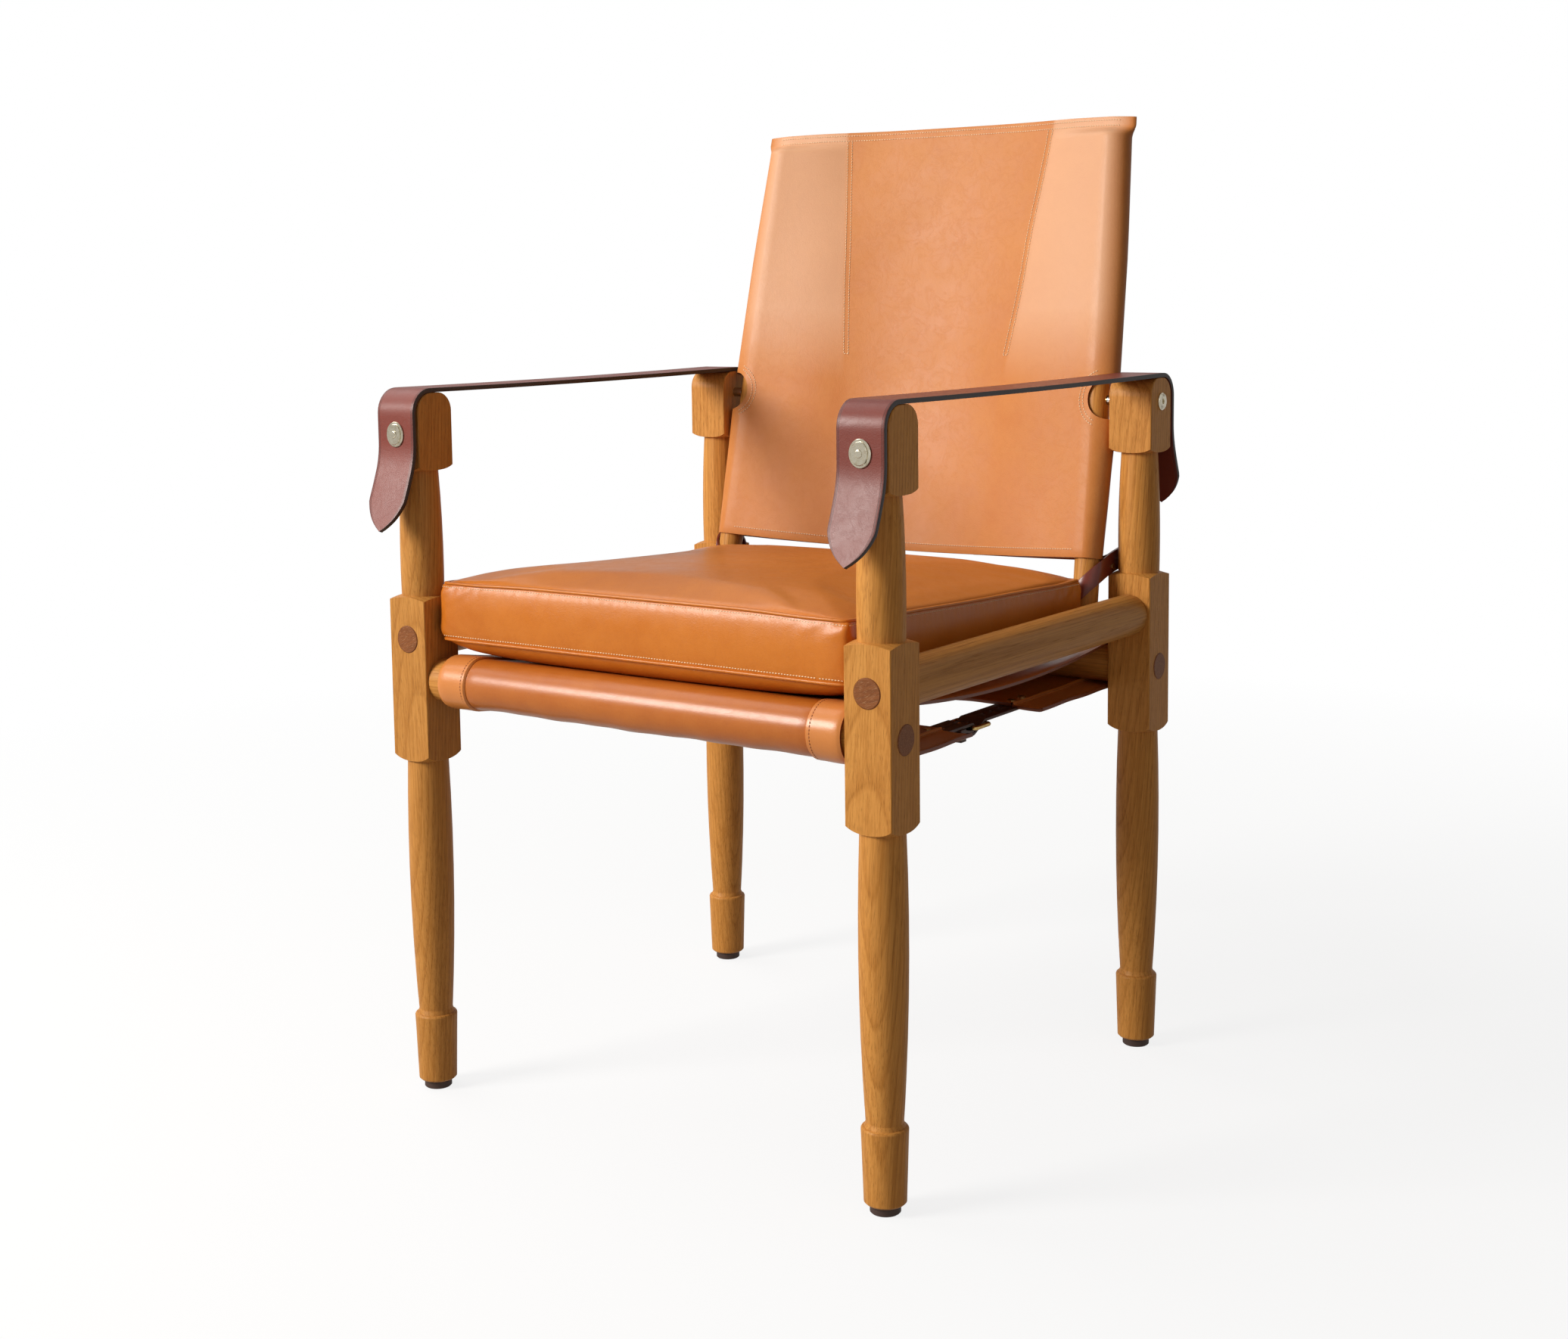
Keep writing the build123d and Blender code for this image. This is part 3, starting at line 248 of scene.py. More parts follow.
def makeOakGroup():
    group, given, result = newGroup("oakGrain", {
        "Heart": (0.05, 0.03, 0), "Ring Width": 0.0032, "Early": (0.6, 0.34, 0.13, 1),
        "Late": (0.45, 0.23, 0.08, 1), "Pore": (0.25, 0.11, 0.035, 1)})
    calc, mix, curve, noise, link = bound(group)
    place = given["Vector"]
    # how far a point lies from the heart of the tree, which runs along Z
    shifted = vectorNode(group, "SUBTRACT", place, given["Heart"])[0]
    flat = vectorNode(group, "MULTIPLY", shifted, (1, 1, 0))[0]
    radius = vectorNode(group, "LENGTH", flat)["Value"]
    drift = noise(place, oakLook["drift"], 2, 0.5)
    wobble = calc("MULTIPLY", calc("SUBTRACT", drift, 0.5), oakLook["wobble"])
    rings = calc("DIVIDE", calc("ADD", radius, wobble), given["Ring Width"])
    late = curve(calc("FRACT", rings), oakLook["rings"])
    # soft broad tone changes along the board
    tone = noise(place, oakLook["tone"], 3, 0.55)
    # pores: short dark dashes along the grain, crowded in the early wood
    pores = noise(place, oakLook["pore"], 1, 0.5)
    poreMask = curve(calc("MULTIPLY_ADD", late, 0.07, pores), [(0.60, 0), (0.74, 1)])
    # fibres are long fine streaks and rays small pale flecks
    fibre = noise(place, oakLook["fibre"], 2, 0.6)
    ray = noise(place, oakLook["ray"], 1, 0.5)
    color = given["Early"]
    for mask, over in ((calc("MULTIPLY", late, 0.6), "Late"),
                       (calc("MULTIPLY_ADD", tone, 0.8, -0.22, clamp=True), "Late"),
                       (curve(fibre, [(0.42, 0), (0.66, 0.62)]), "Late"),
                       (curve(ray, [(0.60, 0), (0.74, 0.3)]), "Early"),
                       (calc("MULTIPLY", poreMask, 0.5), "Pore")):
        color = mix(mask, color, given[over])
    link(color, result["Color"])
    link(calc("SUBTRACT", calc("MULTIPLY", fibre, 0.25), calc("MULTIPLY", poreMask, 0.8)), result["Height"])
    link(calc("MULTIPLY_ADD", poreMask, 0.2, 0.43), result["Rough"])
    return group


def makeHideGroup():
    group, given, result = newGroup("hideSkin", {
        "Base": (0.6, 0.25, 0.08, 1), "Deep": (0.4, 0.14, 0.04, 1), "Pale": (0.75, 0.4, 0.2, 1),
        "Mottle": 0.5, "Crease": 0.3})
    calc, mix, curve, noise, link = bound(group)
    place = given["Vector"]
    cloud = noise(place, skinLook["cloud"], 4, 0.55, 0.4)
    patch = noise(place, skinLook["patch"], 5, 0.6)
    speck = noise(place, skinLook["speck"], 2, 0.5)
    veins = noise(place, skinLook["veins"], 6, 0.62, 1.2)
    pebble = addNode(group, "TexVoronoi", {"Scale": skinLook["pebble"]}, feature="SMOOTH_F1")
    link(place, pebble.inputs["Vector"])
    ridge = calc("ABSOLUTE", calc("SUBTRACT", veins, 0.5))
    creases = calc("MULTIPLY", curve(ridge, [(0, 1), (0.02, 0.25), (0.07, 0)]), given["Crease"])
    broad = curve(cloud, [(0.32, 0), (0.68, 1)])
    small = curve(patch, [(0.35, 0), (0.66, 1)])
    color = given["Base"]
    for mask, over in ((calc("MULTIPLY", calc("MULTIPLY", broad, 0.65), given["Mottle"]), "Deep"),
                       (calc("MULTIPLY", calc("MULTIPLY", small, 0.4), given["Mottle"]), "Pale"),
                       (calc("MULTIPLY", creases, 0.35), "Deep"),
                       (curve(speck, [(0.66, 0), (0.78, 0.28)]), "Deep")):
        color = mix(mask, color, given[over])
    link(color, result["Color"])
    grain = calc("ADD", pebble.outputs["Distance"], calc("MULTIPLY", speck, 0.5))
    link(calc("SUBTRACT", grain, calc("MULTIPLY", creases, 1.4)), result["Height"])
    link(calc("MULTIPLY_ADD", small, 0.09, calc("MULTIPLY", creases, 0.12)), result["Rough"])
    return group


def makeWearAndReflectionGroup():
    group, given, result = newGroup("metalWearAndReflection", {
        "Bright": (0.8, 0.78, 0.72, 1), "DullAndReflection": (0.5, 0.45, 0.36, 1), "WearAndReflection": 0.5})
    calc, mix, curve, noise, link = bound(group)
    place = given["Vector"]
    # the dull patches are partly worn spots and partly a painted dark reflection, which gives the metal contrast
    # against the white surroundings
    spot = curve(noise(place, wearAndReflectionLook["spot"], 3, 0.6), [(0.45, 0), (0.7, 1)])
    wornAndReflected = calc("MULTIPLY", spot, given["WearAndReflection"])
    link(mix(wornAndReflected, given["Bright"], given["DullAndReflection"]), result["Color"])
    link(noise(place, wearAndReflectionLook["scratch"], 2, 0.5, turn=wearAndReflectionLook["turn"]), result["Height"])
    link(calc("MULTIPLY_ADD", wornAndReflected, 0.22, 0.16), result["Rough"])
    return group


oakGroup = makeOakGroup()
hideGroup = makeHideGroup()
wearAndReflectionGroup = makeWearAndReflectionGroup()


def makeMaterial(name, group, values, bump, finish, roughMore=0, turn=(0, 0, 0), move=(0, 0, 0)):
    mat = bpy.data.materials.new(name)
    mat.use_nodes = True
    tree = mat.node_tree
    link = tree.links.new
    shade = tree.nodes["Principled BSDF"]
    coords = tree.nodes.new("ShaderNodeTexCoord")
    place = addNode(tree, "Mapping", {"Rotation": turn, "Location": move})
    link(coords.outputs["Object"], place.inputs["Vector"])
    effect = tree.nodes.new("ShaderNodeGroup")
    effect.node_tree = group
    link(place.outputs[0], effect.inputs["Vector"])
    for owner, table in ((effect, values), (shade, finish)):
        for key, value in table.items():
            owner.inputs[key].default_value = value
    link(effect.outputs["Color"], shade.inputs["Base Color"])
    rough = effect.outputs["Rough"]
    if roughMore:
        rough = mathNode(tree, "ADD", rough, roughMore)
    if "Roughness" not in finish:
        link(rough, shade.inputs["Roughness"])
    relief = addNode(tree, "Bump", {"Strength": bump[0], "Distance": bump[1]})
    link(effect.outputs["Height"], relief.inputs["Height"])
    link(relief.outputs[0], shade.inputs["Normal"])
    return mat


def srgb(r, g, b):
    def one(v):
        v = v / 255
        return v / 12.92 if v <= 0.04045 else ((v + 0.055) / 1.055) ** 2.4
    return (one(r), one(g), one(b), 1)


# oak: one board per piece, grain along the piece
oakTones = dict(early=(218, 154, 78), late=(180, 116, 46), pore=(132, 80, 30))
plugTones = dict(early=(148, 90, 50), late=(112, 64, 34), pore=(188, 142, 98))
quarter = math.pi / 2


def oakMaterial(name, heart, ringWidth=0.0042, darker=1.0, tones=oakTones, **placing):
    values = {"Heart": heart, "Ring Width": ringWidth}
    values.update((key.capitalize(), srgb(*(c * darker for c in tone))) for key, tone in tones.items())
    return makeMaterial(name, oakGroup, values, (0.35, 0.0004), {"Specular IOR Level": 0.2}, **placing)


legPlaces = {"front_left": (-0.2535, -0.2489), "front_right": (0.2535, -0.2489),
             "rear_left": (-0.2535, 0.2241), "rear_right": (0.2535, 0.2241)}
legHearts = {"front_left": (0.03, 0.055, 0), "front_right": (-0.022, 0.075, 0),
             "rear_left": (0.06, -0.03, 0), "rear_right": (0.035, 0.06, 0)}


def setMaterial(nodeName, mat):
    obj = nodes[nodeName]
    if not obj.data.materials:
        obj.data.materials.append(mat)
    for slot in obj.material_slots:
        slot.link = "OBJECT"
        slot.material = mat


for corner, (x, y) in legPlaces.items():
    # the tree's axis leans a little in each leg, so the rings run out in arcs
    lean = (0.055, -0.045 if x > 0 else 0.04, 0)
    darker = 0.94 if corner == "front_left" else 1.0
    wood = oakMaterial("oakLeg_" + corner, legHearts[corner], darker=darker, turn=lean, move=(-x, -y, x * 3))
    setMaterial("leg_" + corner, wood)
for side, x in (("left", -1), ("right", 1)):
    rail = dict(turn=(quarter, 0, 0), move=(x * 0.2, 0.4, 0), darker=0.95)
    setMaterial("rail_" + side, oakMaterial("oakRail_" + side, (0.05, 0.04, 0), **rail))
    post = dict(turn=(0.21, 0, 0), move=(x * -0.2, 0, 0))
    setMaterial("back_post_" + side, oakMaterial("oakPost_" + side, (0.03, 0.05, 0), **post))
for end in ("front", "rear"):
    setMaterial("rail_" + end, oakMaterial("oakRail_" + end, (0.03, 0.05, 0), turn=(0, quarter, 0)))
plugWood = oakMaterial("plugWood", (0.05, 0.02, 0), turn=(0.3, 1.95, 0), ringWidth=0.0022, tones=plugTones)
setMaterial("bolt_plugs", plugWood)


# small hardware
def metalMaterial(name, bright, dullAndReflection, wearAndReflection):
    values = {"Bright": srgb(*bright), "DullAndReflection": srgb(*dullAndReflection), "WearAndReflection": wearAndReflection}
    return makeMaterial(name, wearAndReflectionGroup, values, (0.06, 0.0002), {"Metallic": 1})


def plainMaterial(name, color, rough):
    values = {"Base": srgb(*color), "Deep": srgb(*(c * 0.7 for c in color)),
              "Pale": srgb(*(min(255, c * 1.15) for c in color)), "Mottle": 0.4, "Crease": 0}
    return makeMaterial(name, hideGroup, values, (0.2, 0.0003), {"Roughness": rough})


nickel = metalMaterial("paleNickel", (226, 218, 196), (118, 106, 84), 0.75)
brass = metalMaterial("oldBrass", (206, 174, 112), (140, 104, 54), 0.6)
steel = metalMaterial("plainSteel", (190, 188, 184), (120, 118, 114), 0.5)

glideMat = plainMaterial("darkGlide", (66, 46, 38), 0.6)
for name in nodes:
    if name.startswith(("snap_", "pivot_bolt")):
        setMaterial(name, nickel)
    elif name.startswith(("buckle_", "sling_rivets", "loop_rivets", "pivot_insert")):
        setMaterial(name, brass)
    elif name.startswith(("rail_bolts", "cross_nuts", "loop_screws", "pivot_spacer")):
        setMaterial(name, steel)
    elif name.startswith("glide_"):
        setMaterial(name, glideMat)
print("stage: wood and hardware finished")


# leather finishes, with painted sheen and painted shade on the back leather
def hideMaterial(name, base, deep, pale, rough, coat, shine=0.35, coatRough=0.25, mottle=0.6):
    values = {"Base": srgb(*base), "Deep": srgb(*deep), "Pale": srgb(*pale), "Mottle": mottle, "Crease": 0.35}
    finish = {"Specular IOR Level": shine, "Coat Weight": coat, "Coat Roughness": coatRough}
    return makeMaterial(name, hideGroup, values, (0.25, 0.0003), finish, roughMore=rough)


backHide = hideMaterial("tanBackHide", (206, 130, 65), (188, 106, 42), (218, 150, 86), 0.42, 0.04, shine=0.25)
seatHide = hideMaterial("tanSeatHide", (206, 119, 36), (172, 86, 14), (220, 138, 54), 0.3, 0.12,
                        shine=0.25, coatRough=0.2)
slingHide = hideMaterial("tanSlingHide", (188, 104, 32), (160, 80, 18), (206, 126, 52), 0.32, 0.34,
                         shine=0.3, coatRough=0.22)
darkHide = hideMaterial("mahoganyHide", (118, 48, 34), (84, 28, 20), (140, 66, 48), 0.34, 0.35, coatRough=0.22)
armHide = hideMaterial("mahoganyArmHide", (120, 46, 32), (92, 32, 22), (136, 58, 40), 0.4, 0.16,
                       coatRough=0.3, mottle=0.45)
billetHide = hideMaterial("darkBilletHide", (66, 36, 26), (44, 24, 18), (84, 48, 34), 0.42, 0.1)


def uvParts(tree):
    coords = tree.nodes.new("ShaderNodeUVMap")
    coords.uv_map = "UVMap"
    parts = tree.nodes.new("ShaderNodeSeparateXYZ")
    tree.links.new(coords.outputs[0], parts.inputs[0])
    return coords.outputs[0], parts.outputs[0], parts.outputs[1]


def fromMiddle(tree, share):
    return mathNode(tree, "ABSOLUTE", mathNode(tree, "SUBTRACT", share, 0.5))


def fromEdge(tree, share):
    return mathNode(tree, "SUBTRACT", 0.5, fromMiddle(tree, share))


def paint(mat, mask, tone):
    tree = mat.node_tree
    target = tree.nodes["Principled BSDF"].inputs["Base Color"]
    tree.links.new(mixColor(tree, mask, target.links[0].from_socket, srgb(*tone)), target)


def sheenAndShadeStrips(mat, pale, paintedShade, seam, post, low):
    tree = mat.node_tree
    _, across, along = uvParts(tree)
    middle = fromMiddle(tree, across)
    inside = ramp(tree, middle, [(seam - 0.002, 0), (seam + 0.003, 1), (post + 0.01, 1), (post + 0.05, 0)])
    above = ramp(tree, along, [(low - 0.05, 0), (low + 0.08, 1)])
    # the pale tone is a painted sheen: a strip of painted highlight on each pocket between the seam and the post,
    # fading out towards the hem
    paint(mat, mathNode(tree, "MULTIPLY", mathNode(tree, "MULTIPLY", inside, above), 0.5), pale)
    # painted shade: a darker band down the turned outer side of each post sleeve
    paint(mat, ramp(tree, middle, [(post + 0.05, 0), (post + 0.09, 0.6), (post + 0.14, 0.6), (post + 0.18, 0)]), paintedShade)


def paleBands(mat, pale, share):
    tree = mat.node_tree
    edge = fromEdge(tree, uvParts(tree)[1])
    paint(mat, ramp(tree, edge, [(share - 0.004, 0.55), (share + 0.004, 0)]), pale)


def beltMarks(mat, groove, dark):
    tree = mat.node_tree
    calc, _, curve, noise, link = bound(tree)
    place, across, along = uvParts(tree)
    edge = fromEdge(tree, across)
    line = curve(edge, [(groove - 0.012, 0), (groove - 0.003, 1), (groove + 0.003, 1), (groove + 0.012, 0)])
    border = curve(edge, [(0, 1), (groove * 0.45, 0.35), (groove, 0)])
    paint(mat, calc("MULTIPLY", calc("MAXIMUM", line, border), 0.7), dark)
    # fine cross wrinkles where the tail bends away from the leg
    knee = curve(fromEdge(tree, along), [(0.035, 0), (0.052, 1), (0.085, 1), (0.115, 0)])
    folds = curve(noise(place, (5, 420, 1), 3, 0.6, 0.8), [(0.56, 0), (0.66, 1)])
    marks = calc("MULTIPLY_ADD", calc("MULTIPLY", folds, knee), 0.5, calc("MULTIPLY", line, -1.0))
    height = tree.nodes["Principled BSDF"].inputs["Normal"].links[0].from_node.inputs["Height"]
    link(calc("ADD", height.links[0].from_socket, marks), height)


# the back leather gets painted sheen strips on the pockets and painted shade down the sleeves' outer sides
sheenAndShadeStrips(backHide, (238, 196, 164), (120, 62, 24), 0.1618, 0.25, 0.35)
paleBands(slingHide, (232, 152, 82), 11 / 74)
beltMarks(armHide, 0.05, (40, 20, 18))
tanEdge = plainMaterial("burnishedTanEdge", (120, 58, 28), 0.45)
darkEdge = plainMaterial("burnishedDarkEdge", (30, 17, 14), 0.5)
threadMat = plainMaterial("waxedThread", (240, 206, 168), 0.6)
tanThread = plainMaterial("tanThread", (168, 98, 50), 0.6)


# helpers for leather sheets, straps and seams
def smooth(low, high, value):
    share = min(1, max(0, (value - low) / (high - low)))
    return share * share * (3 - 2 * share)


def resample(route, step):
    lengths = [0]
    for a, b in zip(route, route[1:]):
        lengths.append(lengths[-1] + (b - a).length)
    count = max(1, round(lengths[-1] / step))
    result, i = [], 0
    for k in range(count + 1):
        want = lengths[-1] * k / count
        while i < len(route) - 2 and lengths[i + 1] < want:
            i += 1
        share = (want - lengths[i]) / max(1e-9, lengths[i + 1] - lengths[i])
        result.append(route[i].lerp(route[i + 1], share))
    return result


def roundedRoute(corners, radii, step=0.002):
    route = [corners[0]]
    for before, corner, after, radius in zip(corners, corners[1:], corners[2:], radii):
        a, b = (before - corner).normalized(), (after - corner).normalized()
        half = a.angle(b) / 2
        centre = corner + (a + b).normalized() * (radius / math.sin(half))
        reach = radius / math.tan(half)
        start, end = corner + a * reach - centre, corner + b * reach - centre
        count = max(2, math.ceil(radius * (math.pi - 2 * half) / step))
        route += [centre + start.slerp(end, i / count).normalized() * radius for i in range(count + 1)]
    return route + [corners[-1]]


def arcRoute(centre, radius, first, last, step=0.002):
    count = max(2, math.ceil(abs(last - first) * radius / step))
    turns = [first + (last - first) * i / count for i in range(count + 1)]
    return [centre + Vector((0, math.cos(t), math.sin(t))) * radius for t in turns]


def useModifier(piece, kind, **settings):
    modifier = piece.modifiers.new(kind.lower(), kind)
    setAll(modifier, settings)
    pick(piece)
    bpy.ops.object.modifier_apply(modifier=modifier.name)


def cutAway(piece, cutter):
    useModifier(piece, "BOOLEAN", operation="DIFFERENCE", solver="EXACT", object=cutter)
    bpy.data.objects.remove(cutter)


def smoothByAngle(piece, angle=40):
    pick(piece)
    bpy.ops.object.shade_smooth_by_angle(angle=math.radians(angle))


def addPiece(name, mesh):
    piece = bpy.data.objects.new(name, mesh)
    bpy.context.scene.collection.objects.link(piece)
    return piece


def meshPiece(name, points, faces, mat):
    mesh = bpy.data.meshes.new(name)
    mesh.from_pydata(points, [], faces)
    mesh.materials.append(mat)
    return addPiece(name, mesh)


def makeSheet(name, columns, rows, place, thickness, faceMat, edgeMat, edge=0.0006):
    deselect()
    bpy.ops.mesh.primitive_grid_add(x_subdivisions=columns, y_subdivisions=rows, size=2)
    piece = bpy.context.object
    piece.name = piece.data.name = name
    for vertex in piece.data.vertices:
        i = round((vertex.co.x + 1) / 2 * columns)
        j = round((vertex.co.y + 1) / 2 * rows)
        vertex.co = place(i, j)
    piece.data.materials.append(faceMat)
    piece.data.materials.append(edgeMat)
    useModifier(piece, "SOLIDIFY", thickness=thickness, offset=0, use_even_offset=True, material_offset_rim=1)
    useModifier(piece, "BEVEL", width=edge, segments=2, limit_method="ANGLE", angle_limit=math.radians(60))
    smoothByAngle(piece)
    return piece


stitchLook = dict(length=0.0024, radius=0.00055, pitch=0.0030, flat=0.8)


def sewRow(spots):
    stitches, want, run = [], stitchLook["pitch"] / 2, 0
    for (a, up), (b, _) in zip(spots, spots[1:]):
        length = (b - a).length
        while length > 0 and run + length >= want:
            stitches.append((a.lerp(b, (want - run) / length), (b - a).normalized(), up))
            want += stitchLook["pitch"]
        run += length
    return stitches


def makeStitches(name, stitches, body, mat):
    deselect()
    bpy.ops.mesh.primitive_uv_sphere_add(segments=6, ring_count=4, radius=1)
    pattern = bpy.context.object
    corners = [v.co.copy() for v in pattern.data.vertices]
    faces = [list(f.vertices) for f in pattern.data.polygons]
    bpy.data.objects.remove(pattern)
    points, sides = [], []
    half, thick = stitchLook["length"] / 2, stitchLook["radius"]
    for place, ahead, up in stitches:
        across = ahead.cross(up).normalized()
        up = across.cross(ahead)
        sides += [[len(points) + k for k in f] for f in faces]
        points += [place + ahead * (c.z * half) + across * (c.x * thick) + up * (c.y * thick * stitchLook["flat"])
                   for c in corners]
    piece = meshPiece(name, points, sides, mat)
    smoothByAngle(piece, 80)
    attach(piece, body)
    return piece


def softCopy(nodeName, name, mat, edge=0.0004, cutter=None):
    piece = addPiece(name, nodes[nodeName].data.copy())
    piece.data.materials.clear()
    piece.data.materials.append(mat)
    pick(piece)
    bpy.ops.mesh.customdata_custom_splitnormals_clear()
    bpy.ops.object.mode_set(mode="EDIT")
    bpy.ops.mesh.select_all(action="SELECT")
    bpy.ops.mesh.remove_doubles(threshold=0.00001)
    bpy.ops.mesh.dissolve_limited(angle_limit=0.01)
    bpy.ops.object.mode_set(mode="OBJECT")
    if cutter:
        cutAway(piece, cutter)
    useModifier(piece, "BEVEL", width=edge, segments=2, limit_method="ANGLE", angle_limit=math.radians(50),
                use_clamp_overlap=True)
    smoothByAngle(piece)
    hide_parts(nodeName)
    return piece


# seat sling: one sheet over both rails, with a doubled band at each end
sling = dict(thickness=0.0032, width=0.443, shift=0.0065, gap=0.0003, sag=0.018, frontFlap=0.191, rearFlap=0.150,
             dropAngle=8, flapBend=0.060, bandWidth=0.0325, bandRise=0.0017, groove=0.0008, ripple=0.0007,
             rowStep=0.004, columns=46, edgeRows=(0, 0.0008, 0.002, 0.004, 0.008, 0.014, 0.020, 0.024),
             foldRows=(-0.0022, -0.0012, -0.0004, 0.0004, 0.0012, 0.0025), edgeThin=0.0012, edgeReach=0.0020,
             seamPast=0.0036, edge=0.0008)


def railCentre(name):
    low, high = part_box(name)
    return Vector((0, (low[1] + high[1]) / 2, (low[2] + high[2]) / 2)), (high[2] - low[2]) / 2


frontRail, railRadius = railCentre("rail_front")
rearRail, _ = railCentre("rail_rear")
wrapRadius = railRadius + sling["gap"] + sling["thickness"] / 2
railWay = (rearRail - frontRail).normalized()
hangUp = Vector((0, -railWay.z, railWay.y))
hangReach = sling["sag"] / 2 + (rearRail - frontRail).length ** 2 / (8 * sling["sag"])
hangRadius = hangReach - wrapRadius
hangCentre = (frontRail + rearRail) / 2 + hangUp * (hangReach - sling["sag"])
flapZ = rearRail.z - wrapRadius


def turnOf(spoke):
    return math.atan2(spoke.z, spoke.y)


def slingRoute():
    drop = math.radians(sling["dropAngle"])
    leave = frontRail + Vector((0, -math.sin(drop), -math.cos(drop))) * wrapRadius
    cornerY = leave.y + (leave.z - flapZ) / math.tan(drop)
    flap = roundedRoute([Vector((0, frontRail.y + sling["frontFlap"], flapZ)), Vector((0, cornerY, flapZ)), leave],
                        [sling["flapBend"]])
    frontTurn = turnOf(hangCentre - frontRail)
    rearTurn = turnOf(hangCentre - rearRail)
    front = arcRoute(frontRail, wrapRadius, math.pi * 1.5 - drop, frontTurn)
    hang = arcRoute(hangCentre, hangRadius, frontTurn - math.pi, rearTurn - math.pi)
    rear = arcRoute(rearRail, wrapRadius, rearTurn, -math.pi / 2)
    return flap[:-1] + front[:-1] + hang[:-1] + rear + [Vector((0, rearRail.y - sling["rearFlap"], flapZ))]


def slingTop(y):
    radius = hangRadius - sling["thickness"] / 2
    return hangCentre.z - math.sqrt(max(0, radius ** 2 - (y - hangCentre.y) ** 2))


def makeSling():
    route = resample(slingRoute(), sling["rowStep"])
    half, skin = sling["width"] / 2, sling["thickness"] / 2
    band = half - sling["bandWidth"]
    ends = [*sling["edgeRows"], *(sling["bandWidth"] + d for d in sling["foldRows"])]
    middle = [half - d for d in ends]
    inner, steps = middle[-1], sling["columns"]
    across = [-x for x in middle] + [-inner + 2 * inner * k / steps for k in range(1, steps)] + middle[::-1]
    normals = []
    for k in range(len(route)):
        ahead = (route[min(k + 1, len(route) - 1)] - route[max(k - 1, 0)]).normalized()
        normals.append(Vector((0, -ahead.z, ahead.y)))

    def place(i, j):
        x, spot, out = across[i], route[j], normals[j]
        depth = abs(x) - band
        rise = sling["bandRise"] * smooth(-0.0004, 0.0010, depth)
        rise -= sling["groove"] * math.exp(-((depth + 0.0006) / 0.0006) ** 2)
        rise -= sling["edgeThin"] * math.exp(-((abs(x) - half) / sling["edgeReach"]) ** 2)
        wave = math.sin(x * 61 + 1.3) * 0.5 + math.sin(x * 143 + spot.y * 40) * 0.3
        wave += math.sin(x * 27 + spot.y * 90) * 0.4
        # the slack hangs in waves, less so where the flaps run level
        under = smooth(0.0, 0.02, 0.40 - spot.z) * (1 if spot.z < 0.392 else 0.3)
        return Vector((x + sling["shift"], spot.y, spot.z)) + out * (rise + wave * sling["ripple"] * under)

    piece = makeSheet("slungSeat", len(across) - 1, len(route) - 1, place, sling["thickness"], slingHide, tanEdge,
                      sling["edge"])
    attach(piece, "frame")
    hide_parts("seat_sling")
    length = sum((b - a).length for a, b in zip(route, route[1:]))
    seams = []
    for side in (-1, 1):
        x = side * (band + sling["seamPast"]) + sling["shift"]
        for way, reach in ((1, skin + sling["bandRise"]), (-1, skin)):
            seams += sewRow([(Vector((x, p.y, p.z)) + n * (way * reach), n * way) for p, n in zip(route, normals)])
    thread = makeStitches("slungSeatThread", seams, "frame", tanThread)


makeSling()
print("stage: seat sling")


# back leather: one sheet with a sewn pocket round each post
jointPlaces = {joint["name"]: Vector(joint["pos_m"]) for joint in frame["joints"] if "pos_m" in joint}
pivot = jointPlaces["back_tilt"]
# levels: the height from the pivot, then reach past the post, seam and sag there
back = dict(
    tilt=12.17, splay=2.57, postX=0.2078, postRadius=0.0125, wall=0.0027, gap=0.0003, flat=(0.745, 0.4395),
    hemBelow=0.1555, hemDroop=0.005, topAbove=0.281, topRise=0.008, legLine=0.2535,
    levels=[(-0.1605, 0.0141, 0.092, 0.012), (-0.0778, 0.0182, 0.0935, 0.015), (0, 0.0223, 0.095, 0.018),
            (0.1405, 0.0226, 0.110, 0.019), (0.289, 0.019, 0.125, 0.020)],
    easeShare=0.35, pocketCurve=0.10, seamSag=0.45, flapPast=0.010, sewnFrom=0.045, rowGap=0.0052,
    earOut=0.0046, earStart=0.021, earEnd=0.0095, topRows=(0.0035, 0.009), hemRow=0.008,
    cutOut=0.020, cutFrom=0.017, cutRows=(0.0055, 0.0095), rowsPastPost=0.006, rowEnd=0.004,
    rearTopFrom=0.118, rearHemTo=0.080, threadLift=0.0002, facesApart=1.04, coarseTo=0.93)
tilt = math.radians(back["tilt"])
backUp = Vector((0, math.sin(tilt), math.cos(tilt)))
backOut = Vector((0, math.cos(tilt), -math.sin(tilt)))


def backPoint(u, v, h):
    return pivot + Vector((u, 0, 0)) + backOut * v + backUp * h


def atLevel(h, k):
    rows, ease = back["levels"], back["easeShare"]
    h = min(max(h, rows[0][0]), rows[-1][0])
    for a, b in zip(rows, rows[1:]):
        if h <= b[0]:
            rise = b[k] - a[k]
            return a[k] + rise * smooth(a[0], b[0], h) * ease + rise * (h - a[0]) / (b[0] - a[0]) * (1 - ease)


def topAt(u):
    return back["topAbove"] + back["topRise"] * (1 - (u / back["legLine"]) ** 2)


def hemAt(u):
    return -back["hemBelow"] - back["hemDroop"] * (1 - (u / back["legLine"]) ** 2)


def sleeveAt(h, top):
    postX = back["postX"] - h * math.cos(tilt) * math.tan(math.radians(back["splay"]))
    skin = back["postRadius"] + back["gap"] + back["wall"] / 2
    reach = atLevel(h, 1) - back["wall"] / 2
    shut = 1 - smooth(back["earEnd"], back["earStart"], top - h)
    flat = back["wall"] / 2 + 0.0001
    return postX, reach + back["earOut"] * shut, skin + (flat - skin) * shut


def roundPost(u, postX, reach, skin):
    return skin * math.sqrt(max(0, 1 - ((u - postX) / reach) ** 2))


